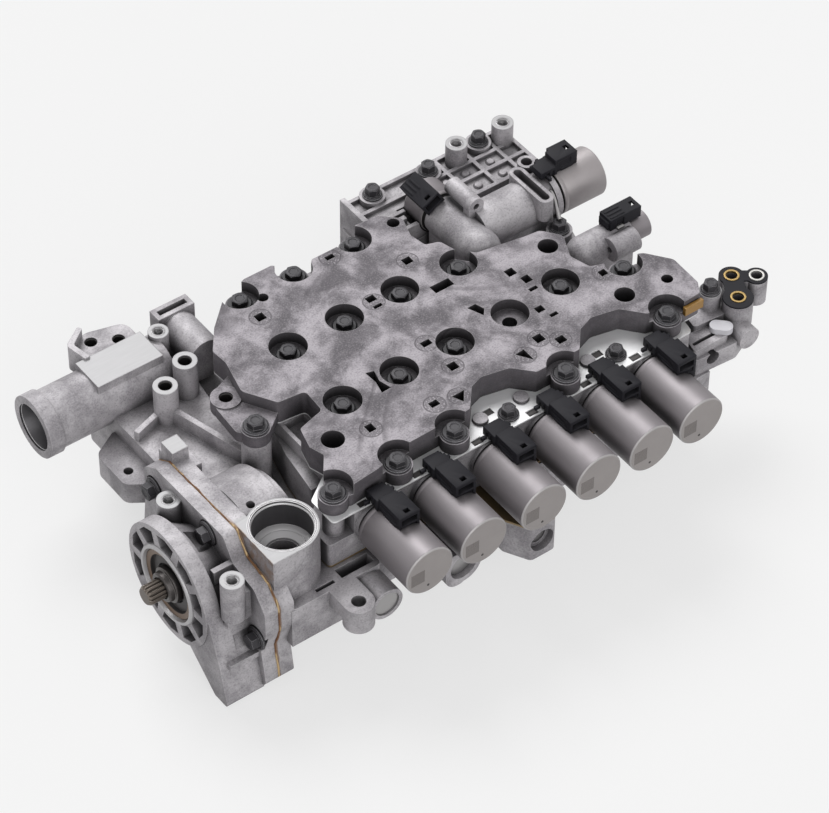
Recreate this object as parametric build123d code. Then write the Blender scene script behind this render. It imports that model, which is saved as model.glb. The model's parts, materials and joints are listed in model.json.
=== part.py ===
from build123d import *
import os
from math import atan2, cos, hypot, pi, sin

# Transmission valve body with its pump: a stack of castings and separator plates, six solenoid
# valves along the front, a gear pump at the left end and two valve housings at the rear.
# Millimetres. +X runs along the row of solenoids, +Y to the rear, +Z up.
# The origin is on the ground, under the middle of the whole part.

# Levels of the stack, above the ground
top_z = 117.0
upper_thickness = 17.0
steel_plate_thickness = 1.0
middle_bottom_z = 62.5
bronze_plate_thickness = 1.5
main_floor_z = 30.0
upper_bottom_z = top_z - upper_thickness
middle_top_z = upper_bottom_z - steel_plate_thickness
main_top_z = middle_bottom_z - bronze_plate_thickness

# Flange bolts
bolt_r = 3.0
bolt_hole_r = 3.4
thread_hole_r = 3.05
hex_across_flats = 8.0
hex_height = 5.8
flange_r = 6.8
flange_height = 1.8
cover_hex_across = 9.4
cover_flange_r = 8.0
counterbore_r = 11.75
seat_depth = 8.1
thread_reach = 12.0
ear_r = 9.0
seat_z = top_z - seat_depth
stack_shank = seat_z - main_top_z + thread_reach

# Rows and columns of bolts in the upper body
column_x = [-68.5, -27.5, 13.5, 54.5, 95.5, 136.5]
row_y = [-74.5, -20.5, 34.5, 87.0]
left_front_bolt = (-112.2, -71.8)
left_mid_bolt = (-117.4, -2.0)
edge_bolts = [
    left_front_bolt,
    left_mid_bolt,
    (column_x[0], row_y[0]),
    (column_x[1], row_y[0]),
    (column_x[3], row_y[0]),
    (column_x[5] - 3.3, row_y[0] + 2.0),
    (column_x[5], row_y[1] - 6.0),
    (column_x[3] + 1.5, row_y[2] - 2.0),
    (column_x[0] + 1.5, row_y[3]),
    (column_x[1], row_y[3]),
    (column_x[2] + 3.0, row_y[3]),
]
inner_bolts = [(x, y) for y in row_y[1:3] for x in column_x[:3]] + [(column_x[4], row_y[1] + 3.5)]
open_counterbore = (column_x[3], row_y[1])
cover_bolt_places = edge_bolts + inner_bolts

# Ports in the flat top of the upper body: centre and size along X and Y, or corners in the plan
window_depth = 13.0
port_windows = [
    (-67.7, 64.4, 6.0, 6.0), (-4.1, 82.2, 6.0, 3.5), (32.0, 52.0, 6.0, 5.5), (-5.4, 38.1, 6.0, 5.0),
    (-5.6, 30.8, 6.0, 2.6), (-1.2, -11.6, 6.5, 4.5), (0.0, -36.2, 6.0, 6.0), (-27.3, -54.4, 6.0, 4.5),
    (-68.8, -48.2, 5.0, 6.0), (76.1, 7.2, 6.0, 6.0), (80.4, -3.1, 5.5, 6.0), (78.6, -12.1, 6.0, 2.8),
    (70.8, -28.3, 5.5, 5.0), (74.9, -36.8, 5.5, 2.8), (121.0, -26.0, 5.0, 5.0), (55.0, -47.6, 6.2, 6.2),
    (65.1, -56.1, 6.0, 5.5), (35.8, 22.2, 13.8, 6.5),
]
shaped_windows = [
    [(36.3, -2.2), (42.4, -2.1), (44.4, -8.5), (40.6, -12.9)],
    [(35.4, -50.2), (42.2, -49.6), (41.9, -60.2)],
    [(-15.7, -55.9), (-6.5, -55.6), (-12.3, -63.2)],
    [(-44.9, -10.5), (-39.6, -12.0), (-41.9, -20.5), (-39.6, -29.0), (-46.5, -29.3), (-44.4, -20.0)],
]
plain_holes = [
    (-56.9, 77.2, 3.5), (-91.6, -42.9, 7.1), (108.6, 12.0, 6.4), (119.6, -48.6, 6.4),
    (148.9, -52.9, 3.7), (45.0, 84.1, 4.0),
]
side_pocket = (-97.5, -84.0, -19.5, -2.0)
side_pocket_floor_z = 93.0

# Small screws and casting pins in the front recesses
plate_bolt_places = [(12.6, -74.0), (94.6, -72.5)]
recess_pin_places = [(-3.6, -68.0), (26.6, -68.0), (77.1, -67.5)]
recess_pin_r = 4.6
recess_pin_height = 3.0

# Solenoid valves of the front row
solenoid_x = [-89.3, -50.5, -6.8, 33.6, 73.5, 111.2]
solenoid_z = 84.0
can_r = 16.5
can_length = 49.0
can_edge = 1.0
nose_r = 8.0
nose_length = 15.0
valve_bore_r = 8.05
front_face_y = -82.0
collar_r = 14.8
collar_length = 3.0
can_back_y = front_face_y - collar_length

# Plug sockets on the cans
socket_width = 13.0
socket_length = 29.0
socket_height = 9.0
socket_step = 4.0
socket_offset_x = 6.0
socket_front_y = -107.5
socket_blade = 8.0
socket_recess = 3.5

# Spool valves behind the solenoids
spool_r = 6.0
spool_bore_r = 6.04
spool_waist_r = 3.6
spool_gap = 0.3
spool_travel = 3.0
land_lengths = [8.0, 6.0, 6.0, 7.0]
groove_length = 5.5
spring_wire_r = 0.7
spring_coil_r = 4.4
spring_turns = 4
spring_sides = 9
spring_length = 15.0

# Pump: shaft line, faces along X, gears and seal
shaft_y = -34.0
shaft_z = 57.0
gasket_x = -167.0
gasket_thickness = 1.0
cover_flange = 9.0
cover_face_x = -203.0
shaft_tip_x = -219.0
housing_flange = 10.0
dome_r = 43.0
dome_end_x = -131.0
dome_step = 5.0
dome_hole = (-149.9, -43.1)
dome_hole_r = 2.6
rotor_depth = 16.0
outer_rotor_r = 28.0
rotor_clearance = 0.05
pin_ring_r = 21.0
pin_r = 5.4
rotor_offset = 1.9
pin_count = 9
tooth_clearance = 0.15
profile_step = 1.1
shaft_r = 7.0
shaft_clearance = 0.04
spline_r = 6.3
spline_root_r = 5.2
spline_teeth = 14
bearing_r = 24.0
bearing_depth = 9.0
seal_depth = 4.0
seal_r = 15.0
lip_width = 2.2
front_ring_r = 40.0
front_ring_thickness = 10.0
neck_front_r = 36.0
neck_back_r = 26.5
spoke_count = 10
spoke_inner_r = 27.0
spoke_outer_r = 36.0
spoke_depth = 8.0
cover_bolt_yz = [(16.3, 78.6), (-39.4, 89.5), (-87.0, 42.3), (-26.0, 18.0), (22.0, 30.0)]
pump_seat_depth = 2.5
cover_screw_shank = 21.0
cover_boss_1 = (-182.2, -6.5)
cover_boss_1_top = 92.0
cover_boss_2 = (-187.4, -78.5)
cover_boss_2_top = 91.0
cover_boss_length = 30.0
cover_boss_r = 7.2
cover_boss_hole_r = 3.4
cover_boss_hole_depth = 14.0
flange_x = gasket_x - gasket_thickness - cover_flange
rotor_end_x = gasket_x + rotor_depth

# Inlet port boss beside the pump
port_x = -144.7
port_y = -67.4
port_top_z = 99.5
port_boss_r = 21.5
port_r = 18.8
port_depth = 20.0
port_step_r = 14.5
port_step_depth = 3.0
port_hole_r = 9.6

# Outlet tube at the rear left
tube_y = 101.0
tube_z = 77.0
tube_mouth_x = -207.0
tube_r = 19.0
tube_bore_r = 15.5
tube_collar_r = 20.6
tube_collar_length = 9.5
tube_bore_depth = 75.0
tube_end_x = -116.0
label_pad_z = tube_z + tube_r + 1.5

# Tray and bosses at the left
tray_z = 72.0
boss_top_z = 99.0
boss_a = (-113.8, 106.0)
boss_b = (-114.8, 75.9)
boss_c = (-135.9, 65.4)
boss_d = (-117.8, 28.0)
boss_d_top_z = 109.0
boss_r = 7.6
boss_hole_r = 4.3
boss_a_hole_r = 3.3
pad_top_z = 105.5
lug_z = 92.0
lug_holes = [(-148.0, 128.0), (-133.0, 120.5)]
lug_hole_r = 4.0
slot_boss_x = -94.5
slot_boss_z = 84.0
slot_boss_r = 12.0

# Valve housings at the rear and their solenoids
big_axis_y = 65.0
big_axis_z = 100.0
big_housing_r = 15.2
big_flange_x = 146.0
big_can_x = 150.0
big_can_end_x = 185.0
left_valve_x = 85.0
left_valve_r = 13.0
left_valve_front_y = 43.0
left_joint_y = 88.0
left_can_end_y = 108.0
big_spool_r = 7.0
big_spool_bore_r = 7.04
big_lands = [9.0, 8.0, 9.0]
big_groove = 4.0
big_spool_length = sum(big_lands) + big_groove * (len(big_lands) - 1)
rear_spring_length = 10.0
side_axis_y = 11.0
side_axis_z = 97.0
side_housing_r = 11.0
side_can_r = 9.0
side_can_x = 169.0
side_can_end_x = 183.0
strap_x = 159.0
strap_r = 12.2
finger_x = 93.5
finger_z = 119.0
finger_front_y = 64.0
finger_length = 25.0
finger_r = 5.8
loop_x = 135.0
loop_y = (48.5, 76.0)
loop_half_width = 5.2
loop_wall = 2.4
loop_top_z = 116.3
ear_place = (146.5, 82.0)
ear_top_z = 115.0
ear_boss_r = 5.8
ear_hole_r = 3.6
rear_bolt_places = [(60.5, 127.0), (101.5, 124.0), (144.0, 128.0)]
rear_base_z = 92.0
rear_rib_z = 98.0
rear_shank = 20.0
rear_boss_places = [(123.8, 124.3), (159.3, 123.0)]
rear_boss_top_z = 112.0
rear_boss_r = 7.0
pipe_bolt_place = (138.0, 37.0)
pipe_bolt_z = 96.0

# Right end block and its three-hole gasket
end_bolt_place = (179.0, -59.5)
end_boss_top_z = 95.5
end_boss_r = 7.0
end_deck_z = 84.0
end_block_top_z = 80.0
end_pad_z = 92.0
end_gasket_thickness = 1.2
end_hole_places = [(199.5, -55.5), (212.0, -64.5), (190.5, -72.5)]
end_hole_r = 3.6
end_lobe_r = [8.0, 7.0, 9.6]
end_arm_widths = [9.0, 13.0]
eyelet_r = 4.9
eyelet_height = 0.5
right_lug_bore = (160.5, 70.0)

# Front lugs of the main body, at bore height
lug_bore_z = 48.0
plug_bore_x = -105.0
plug_bore_face_y = -114.5
ring_lug_x = -51.5
ring_lug_face_y = -117.0
end_lug_x = -2.0
end_lug_face_y = -128.0
end_lug_mouth_r = 8.2
tab_x = -123.5
tab_y = -112.0
tab_hole_r = 4.4
front_wall_y = -96.0

# Feet under the main body
foot_places = [(138.0, -58.0), (140.0, 112.0), (-104.0, 96.0), (-96.0, -56.0), (20.0, 20.0)]
foot_r = 9.0
foot_hole_r = 3.4
foot_hole_depth = 16.0

# Outlines: each point is x, y and the radius of its corner
upper_outline = [
    (-107, 57, 4), (-95, 73, 6), (-78, 89, 4), (-57, 97, 3), (-37, 97, 2), (-20, 81, 3), (-14, 87, 3),
    (5, 87, 3), (25, 96, 3), (41, 95, 4), (52, 84, 4), (47, 69, 3), (49, 57, 3), (58, 54, 4),
    (61, 43, 4), (70, 33, 4), (103, 27, 3), (113, 26, 5), (122, 14, 5), (114, -3, 4), (118, -17, 3),
    (130, -22, 2), (151, -26, 8), (163, -42, 5), (162, -66, 3), (157, -74, 3), (143, -74.5, 2), (120, -69, 3),
    (109, -56, 3), (91, -52, 6), (80, -56, 3), (69, -69, 2), (37, -69, 2), (26, -57, 3),
    (8, -53, 6), (-1, -56, 3), (-13, -70, 2), (-60, -71, 3), (-84, -77, 2), (-106, -79, 4),
    (-112, -62, 3), (-103, -50, 2), (-106, -40, 3), (-102, -25, 3), (-83, -20, 3), (-82, -2, 3),
    (-100, 0, 3), (-112, 20, 6), (-106, 45, 6),
]
shelf_outline = [
    (-100, 45, 3), (-118, 38, 8), (-127, 26, 8), (-128.5, 2, 4), (-116, -12, 6), (-98, 2, 3),
]
front_strip = [
    (-121, -84, 3), (-121, -62, 3), (-104, -50, 3), (148, -50, 3), (148, -64, 3), (144, -84, 3),
]
middle_outline = [
    (-122.8, -82, 3), (-122.8, -62, 4), (-110, -50, 4), (-105, -14, 3), (-97, 18, 4), (-103, 56, 5),
    (-80, 84, 5), (-56, 95, 5), (38, 93, 5), (50, 80, 4), (47, 57, 3), (60, 42, 4), (70, 31, 4),
    (104, 25, 4), (118, 14, 5), (112, -3, 4), (117, -18, 3), (151, -25, 6), (157, -42, 5),
    (150, -58, 3), (145, -82, 3),
]
main_outline = [
    (-158, front_wall_y, 3), (-97, front_wall_y, 3), (-92, -88, 3), (146, -88, 6), (160, -76, 8),
    (166, -40, 6), (156, 20, 8), (168, 60, 6), (168, 134, 8), (36, 134, 8), (28, 100, 6),
    (-96, 100, 6), (-96, 118, 5), (-162, 118, 8), (-162, 18, 6), (-140, 6, 5), (-158, -4, 3),
]
tray_outline = [(-162, 18, 5), (-162, 118, 8), (-98, 118, 6), (-107, 60, 5), (-107, 8, 4), (-140, 6, 5)]
side_ledge = [(-181, 44, 7), (-181, 74, 7), (-160, 86, 3), (-160, 30, 3)]
lug_plate = [(-162, 110, 3), (-162, 128, 8), (-148, 137, 9), (-122, 130, 8), (-122, 108, 3)]
lug_wall = [(-162, 112, 1), (-165, 128, 4), (-151, 137.5, 1), (-149.5, 134.5, 1), (-161, 126, 3), (-158, 112, 1)]

# Pump flange outline: each corner is y, z and its radius
pump_flange = [
    (-55, 99.5, 4), (-64, 85, 4), (-85, 81, 4), (-95.5, 68, 5), (-95.5, 50, 6), (-90, 33, 5), (-94, 6, 5),
    (-84, 0.5, 4), (-66, 4, 8), (-30, 8, 12), (10, 14, 12), (32, 28, 8), (28, 60, 8), (27, 88, 6), (14, 97, 5),
]


def block(x0, x1, y0, y1, z0, z1):
    """A plain box between two corners."""
    return Pos((x0 + x1) / 2, (y0 + y1) / 2, (z0 + z1) / 2) * Box(abs(x1 - x0), abs(y1 - y0), abs(z1 - z0))


def rod_z(x, y, z0, z1, r):
    return Pos(x, y, (z0 + z1) / 2) * Cylinder(r, abs(z1 - z0))


def rod_x(y, z, x0, x1, r):
    return Pos((x0 + x1) / 2, y, z) * Rot(0, 90, 0) * Cylinder(r, abs(x1 - x0))


def rod_y(x, z, y0, y1, r):
    return Pos(x, (y0 + y1) / 2, z) * Rot(90, 0, 0) * Cylinder(r, abs(y1 - y0))


def outline(corners):
    """A closed flat outline from points with corner radii."""
    points = [(x, y) for x, y, r in corners]
    radii = [r for x, y, r in corners]
    return make_face(FilletPolyline(*points, radius=radii, close=True))


def slab(corners, z0, z1):
    return Pos(0, 0, z0) * extrude(outline(corners), z1 - z0)


def plate_across_x(corners, x0, x1):
    """A slab that stands across X: each corner is y, z and its radius."""
    across = Plane(origin=(min(x0, x1), 0, 0), x_dir=(0, 1, 0), z_dir=(1, 0, 0))
    return across * extrude(outline(corners), abs(x1 - x0))


def rib(start, end, thickness, z0, z1):
    """An upright wall between two points of the plan."""
    length = hypot(end[0] - start[0], end[1] - start[1])
    turn = atan2(end[1] - start[1], end[0] - start[0]) * 180 / pi
    middle = ((start[0] + end[0]) / 2, (start[1] + end[1]) / 2, (z0 + z1) / 2)
    return Pos(*middle) * Rot(0, 0, turn) * Box(length, thickness, z1 - z0)


def save(name, *solids):
    """Write one node: a single solid, or a group of separate ones."""
    parts = [s for shape in solids for s in shape.solids()]
    shape = parts[0] if len(parts) == 1 else Compound(children=parts)
    export_step(shape, f"parts/{name}.step")


def flange_bolt(shank, across=hex_across_flats, washer_r=flange_r):
    """A flange bolt with its seat at the origin, its head up and its shank down."""
    hexagon = RegularPolygon(across / 2, 6, major_radius=False)
    head = extrude(hexagon, flange_height + hex_height)
    head = chamfer(head.faces().sort_by(Axis.Z)[-1].edges(), 0.5)
    washer = rod_z(0, 0, 0, flange_height, washer_r)
    return washer + head + rod_z(0, 0, -shank, 0, bolt_r)


# Upper body: counterbores, plain holes and small ports
def upper_body():
    body = slab(upper_outline, upper_bottom_z, top_z)
    low = [slab(shelf_outline, upper_bottom_z, seat_z - 1)]
    low += [rod_z(x, y, upper_bottom_z, seat_z, ear_r) for x, y in edge_bolts]
    low += [rod_z(*boss_d, upper_bottom_z, boss_d_top_z, boss_r + 1.8)]
    body = body + low
    cuts = [rod_z(x, y, seat_z, top_z + 1, counterbore_r) for x, y in cover_bolt_places]
    cuts += [rod_z(x, y, upper_bottom_z - 1, seat_z + 1, bolt_hole_r) for x, y in cover_bolt_places]
    cuts += [rod_z(*open_counterbore, seat_z, top_z + 1, counterbore_r)]
    cuts += [rod_z(*open_counterbore, upper_bottom_z - 1, seat_z + 1, bolt_hole_r + 1.2)]
    cuts += [rod_z(*boss_d, upper_bottom_z - 1, boss_d_top_z + 1, boss_hole_r)]
    cuts += [rod_z(x, y, upper_bottom_z - 1, top_z + 1, r) for x, y, r in plain_holes]
    body = body - cuts
    floor_z = top_z - window_depth
    pockets = []
    for x, y, across, deep in port_windows:
        pockets += [block(x - across / 2, x + across / 2, y - deep / 2, y + deep / 2, floor_z, top_z + 1)]
    for corners in shaped_windows:
        shape = make_face(Polyline(*corners, close=True))
        pockets += [Pos(0, 0, floor_z) * extrude(shape, window_depth + 1)]
    return body - pockets


def stack_holes(z0, z1, r):
    return [rod_z(x, y, z0, z1, r) for x, y in cover_bolt_places]


# Steel separator plate: its bright edge and small holes show in the front recesses
def separator_plate():
    plate = slab(upper_outline, middle_top_z, upper_bottom_z)
    plate = plate + slab(front_strip, middle_top_z, upper_bottom_z)
    plate = plate - slab([(-135, 20, 2), (-106, 20, 2), (-106, -20, 2), (-135, -20, 2)], 90, 110)
    low, high = middle_top_z - 1, upper_bottom_z + 1
    holes = stack_holes(low, high, bolt_hole_r)
    holes += [rod_z(x, y, low, high, bolt_hole_r) for x, y in plate_bolt_places]
    holes += [rod_z(x, y, low, high, recess_pin_r + 0.3) for x, y in recess_pin_places]
    holes += [rod_z(x, y, low, high, r) for x, y, r in plain_holes[1:5]]
    holes += [block(x - 3, x + 3, -68, -63, low, high) for x in (86.0, 4.0)]
    for x in solenoid_x:
        holes += [block(x - 12, x - 5, front_face_y - 1, -78.5, low, high)]
    holes += [block(*side_pocket, low, high)]
    return plate - holes


# Middle body: six valve bores across it, with a raised collar around each mouth
def middle_body():
    body = slab(middle_outline, middle_bottom_z, middle_top_z)
    body = body - slab([(-126, -84, 0.5), (-126, -46, 0.5), (-104.5, -46, 0.5), (-104.5, -84, 0.5)], 80, 110)
    body = body - slab([(-120, -50, 1), (-120, 20, 1), (-100, 20, 1), (-100, -50, 1)], 88, 110)
    grown = [rod_z(*left_front_bolt, 79, middle_top_z, ear_r - 2.4)]
    grown += [rod_y(x, solenoid_z, can_back_y, front_face_y, collar_r) for x in solenoid_x]
    for x, y in recess_pin_places:
        grown += [rod_z(x, y, middle_top_z, middle_top_z + recess_pin_height, recess_pin_r)]
    body = body + grown
    bore_end = can_back_y + nose_length + 2 * spool_gap + spool_length() + spring_length
    cuts = stack_holes(middle_bottom_z - 1, upper_bottom_z + 1, bolt_hole_r)
    cuts += [rod_z(x, y, 75, 110, thread_hole_r) for x, y in plate_bolt_places]
    cuts += [rod_z(x, y, middle_bottom_z - 1, 110, r) for x, y, r in plain_holes[1:4]]
    cuts += [block(*side_pocket, side_pocket_floor_z, upper_bottom_z)]
    for x in solenoid_x:
        cuts += [rod_y(x, solenoid_z, can_back_y - 1, can_back_y + nose_length, valve_bore_r)]
        cuts += [rod_y(x, solenoid_z, can_back_y, bore_end, spool_bore_r)]
    return body - cuts


def spool_length():
    return sum(land_lengths) + groove_length * (len(land_lengths) - 1)


def valve_spool(lands, groove, land_r, waist_r):
    """A spool along +Y from the origin: lands with waists between them."""
    points = [(0.0, 0.0)]
    at = 0.0
    for i, land in enumerate(lands):
        points += [(land_r, at), (land_r, at + land)]
        at += land
        if i < len(lands) - 1:
            points += [(waist_r, at), (waist_r, at + groove)]
            at += groove
    points += [(0.0, at)]
    return revolve(make_face(Polyline(*points, close=True)), Axis.Y, 360)


def solenoid(length, r, nose, nose_radius):
    """A solenoid can along -Y with its back face at the origin and its nose on +Y."""
    profile = make_face(Polyline(
        (0, nose), (nose_radius - 0.6, nose), (nose_radius, nose - 0.6), (nose_radius, 0),
        (r - 2.2, 0), (r - 2.2, -2.0), (r - 0.6, -2.0), (r, -2.8), (r, can_edge - length),
        (r - can_edge, -length), (0, -length), close=True,
    ))
    return revolve(profile, Axis.Y, 360)


def plug_socket(length, width, height, step, saddle_r, overhang):
    """A plug socket along Y, its front face at y = 0, on a can whose top is at z = 0."""
    front = length * 0.56
    body = block(-width / 2, width / 2, 0, front, -saddle_r, height)
    body = body + block(-width / 2 - 1, width / 2 - 2, front, length - overhang, -saddle_r, height - step)
    body = body + block(-width / 2 - 1, width / 2 - 2, length - overhang, length, 1.0, height - step)
    body = body + block(-width / 2 - socket_blade, 0, length - 5, length - 3.2, 1.0, 3.4)
    body = body - block(-1.4, 1.4, 2.2, 5.0, height - 2.5, height + 1)
    body = body - block(-width / 2 + 2, width / 2 - 2, -1, socket_recess, 1.0, height - 3)
    body = body - block(width / 2 - 2.4, width / 2 + 1, front - 3, front + 1, height - step, height + 1)
    return body


def plain_socket(length, width, height, saddle_r):
    """A straight plug socket along Y, its front face at y = 0, on a can whose top is at z = 0."""
    body = block(-width / 2, width / 2, 0, length, -saddle_r, height)
    body = body - block(-width / 2 + 2, width / 2 - 2, -1, socket_recess, 1.0, height - 2)
    return body - [block(x - 0.6, x + 0.6, 0.4 * length, length + 1, height - 0.8, height + 1) for x in (-3, 0, 3)]


def spring(length, coil_r):
    """A coil spring along +Y from the origin, bent from short straight pieces of square wire."""
    steps = spring_turns * spring_sides
    rise = (length - 2.4 * spring_wire_r) / steps
    points = []
    for i in range(steps + 1):
        angle = 2 * pi * i / spring_sides
        points += [(coil_r * cos(angle), coil_r * sin(angle), 1.2 * spring_wire_r + rise * i)]
    path = Polyline(*points)
    wire = Plane(origin=path @ 0, z_dir=path % 0) * Rectangle(1.8 * spring_wire_r, 1.8 * spring_wire_r)
    coil = sweep(wire, path=path, transition=Transition.RIGHT)
    return Rot(-90, 0, 0) * coil


# Lower separator plate, bronze coloured, with the outline of the two bodies it parts
def bronze_plate():
    plate = slab(middle_outline, main_top_z, middle_bottom_z)
    plate = plate + slab([(-92, -87, 3), (-92, -60, 2), (144, -60, 2), (144, -87, 3)], main_top_z, middle_bottom_z)
    plate = plate + slab(end_lug_outline(0), main_top_z, middle_bottom_z)
    holes = stack_holes(main_top_z - 1, middle_bottom_z + 1, bolt_hole_r)
    return plate - holes


def end_lug_outline(grow):
    x0, x1 = end_lug_x - 17 - grow, end_lug_x + 11 + grow
    y0 = end_lug_face_y - grow
    return [(x0, -80, 2), (x0, -112, 5), (x0 + 9, y0, 4), (x1, y0, 4), (x1, -80, 2)]


# Main body: base casting with the pump housing, inlet port, tray, outlet tube and front lugs
def main_body():
    body = slab(main_outline, main_floor_z, main_top_z)
    body = body + [pump_housing(), tray_side(), front_lugs()] + main_feet()
    cuts = stack_holes(main_top_z - thread_reach - 2, main_top_z + 1, thread_hole_r)
    cuts += [rod_z(*left_mid_bolt, main_top_z - thread_reach, 120, thread_hole_r)]
    cuts += pump_cuts() + tray_cuts() + lug_cuts() + underside_cuts()
    return body - cuts


def pump_housing():
    flange_back_x = gasket_x + housing_flange
    body = plate_across_x(pump_flange, gasket_x, flange_back_x)
    body = body + rod_x(shaft_y, shaft_z, flange_back_x, dome_end_x, dome_r)
    body = body + rod_x(shaft_y, shaft_z, dome_end_x, dome_end_x + dome_step, dome_r - 5)
    front = port_y - port_boss_r
    body = body + [
        rod_z(port_x, port_y, main_floor_z + 4, port_top_z, port_boss_r),
        block(gasket_x + 1, port_x, front, port_y + port_boss_r - 4, main_floor_z + 4, port_top_z),
        block(flange_back_x - 2, -118, front_wall_y, -60, main_floor_z, main_top_z - 1),
        block(gasket_x, flange_back_x + 4, 2, 26, 60, 97.5),
        block(gasket_x, flange_back_x + 1, 11, 23, 90, pad_top_z),
    ]
    return body


def pump_cuts():
    """Rotor cavity, shaft hole, kidney ports and the stepped inlet bore."""
    ring_z = shaft_z - rotor_offset
    floor_x = rotor_end_x + 2 * rotor_clearance
    cavity = rod_x(shaft_y, ring_z, gasket_x - 1, floor_x, outer_rotor_r + rotor_clearance)
    shaft_hole = rod_x(shaft_y, shaft_z, floor_x - 1, floor_x + 15, shaft_r + shaft_clearance)
    kidney = rod_x(shaft_y, ring_z, floor_x - 1, floor_x + 6, 26) - rod_x(shaft_y, ring_z, floor_x - 2, floor_x + 7, 18)
    halves = block(floor_x - 2, floor_x + 7, -100, shaft_y - 9, 0, 120) + block(floor_x - 2, floor_x + 7, shaft_y + 9, 50, 0, 120)
    cuts = [cavity, shaft_hole, kidney & halves]
    step_z = port_top_z - port_depth
    cuts += [rod_z(port_x, port_y, step_z, port_top_z + 1, port_r)]
    cuts += [rod_z(port_x, port_y, step_z - port_step_depth, step_z + 1, port_step_r)]
    cuts += [rod_z(port_x, port_y, shaft_z - 8, step_z, port_hole_r)]
    for y, z in cover_bolt_yz:
        cuts += [rod_x(y, z, gasket_x - 1, gasket_x + cover_screw_shank - cover_flange + pump_seat_depth, thread_hole_r)]
    cuts += [rod_z(*dome_hole, 92, 110, dome_hole_r)]
    return cuts


def tray_side():
    body = slab(tray_outline, main_floor_z, tray_z)
    body = body + [
        slab(side_ledge, 44, 60),
        rod_x(tube_y, tube_z, tube_mouth_x, tube_end_x, tube_r),
        rod_x(tube_y, tube_z, tube_mouth_x, tube_mouth_x + tube_collar_length, tube_collar_r),
        block(-160, tube_end_x, tube_y - tube_r + 1, tube_y + tube_r - 2, 50, tube_z),
        block(-168, -122, tube_y - 12.5, tube_y + 12.5, tube_z + 6, label_pad_z),
        rod_z(*boss_a, tray_z - 2, boss_top_z, boss_r - 1.2),
        rod_z(*boss_b, tray_z - 2, boss_top_z, boss_r),
        rod_z(*boss_c, tray_z - 2, boss_top_z, boss_r),
        rod_z(*left_mid_bolt, main_top_z - 2, upper_bottom_z, ear_r),
        rib(boss_c, left_mid_bolt, 3.6, tray_z - 2, tray_z + 11),
        rib((-161, 60), (-142, 66), 3.6, tray_z - 2, tray_z + 7),
        rib((-129, 84), boss_b, 3.6, tray_z - 2, tray_z + 11),
        slab(lug_plate, 80, lug_z),
        slab(lug_wall, 80, lug_z + 7),
        rod_y(slot_boss_x, slot_boss_z, 84, 123, slot_boss_r),
        block(slot_boss_x - 13, slot_boss_x + 13, 115, 125, tray_z - 6, slot_boss_z + slot_boss_r + 1),
        block(slot_boss_x - 11, slot_boss_x + 10, 84, 118, tray_z - 6, slot_boss_z),
    ]
    return body


def tray_cuts():
    cuts = [rod_x(tube_y, tube_z, tube_mouth_x - 1, tube_mouth_x + tube_bore_depth, tube_bore_r)]
    cuts += [rod_z(*boss_a, boss_top_z - 12, boss_top_z + 1, boss_a_hole_r)]
    cuts += [rod_z(*place, boss_top_z - 24, boss_top_z + 1, boss_hole_r) for place in (boss_b, boss_c)]
    cuts += [rod_z(x, y, 79, lug_z + 1, lug_hole_r) for x, y in lug_holes]
    cuts += [block(slot_boss_x - 10, slot_boss_x + 10, 118, 122, slot_boss_z - 8, 120)]
    cuts += [rod_y(slot_boss_x, slot_boss_z, 100, 130, 8)]
    cuts += [rod_z(-173, 52, 40, 70, 3)]
    return cuts


def front_lugs():
    body = block(tab_x - 9.5, tab_x + 9.5, tab_y, -90, main_top_z - 11, main_top_z)
    body = body + [
        rod_z(tab_x, tab_y, main_top_z - 18, main_top_z, 9.5),
        rod_y(plug_bore_x, lug_bore_z, plug_bore_face_y, -80, 11.0),
        rod_y(ring_lug_x, lug_bore_z, ring_lug_face_y, -80, 13.0),
        block(ring_lug_x - 13, ring_lug_x + 13, ring_lug_face_y, -80, lug_bore_z, main_top_z),
        rod_y(ring_lug_x - 4, lug_bore_z - 5, ring_lug_face_y, -80, 9.0),
        slab(end_lug_outline(0), lug_bore_z - 13, main_top_z),
        block(145, 158, -88, -60, 40, main_top_z),
    ]
    return body


def lug_cuts():
    cuts = [rod_z(tab_x, tab_y, main_top_z - 20, main_top_z + 1, tab_hole_r)]
    cuts += [rod_y(plug_bore_x, lug_bore_z, plug_bore_face_y - 1, -100, 8.5)]
    cuts += [rod_y(ring_lug_x, lug_bore_z, ring_lug_face_y - 1, -96, 9.5)]
    cuts += [rod_y(end_lug_x, lug_bore_z, end_lug_face_y - 1, -104, 5.6)]
    cuts += [rod_y(end_lug_x, lug_bore_z, end_lug_face_y - 1, end_lug_face_y + 5, end_lug_mouth_r)]
    cuts += [block(-121, -98, -92, -84.5, 42, main_top_z + 1), block(-139, -126, -92.5, -90, 42, main_top_z + 1)]
    return cuts


def main_feet():
    return [rod_z(x, y, 0, main_floor_z + 1, foot_r) for x, y in foot_places]


def underside_cuts():
    """Screw holes in the feet and the pockets that lighten the base from below."""
    cuts = [rod_z(x, y, -1, foot_hole_depth, foot_hole_r) for x, y in foot_places]
    pocket_x = [-78, -34, 44, 84]
    for x in pocket_x:
        cuts += [block(x, x + 34, y, y + 36, main_floor_z - 1, main_floor_z + 14) for y in (-74, -30, 14, 52)]
    return cuts


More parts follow.
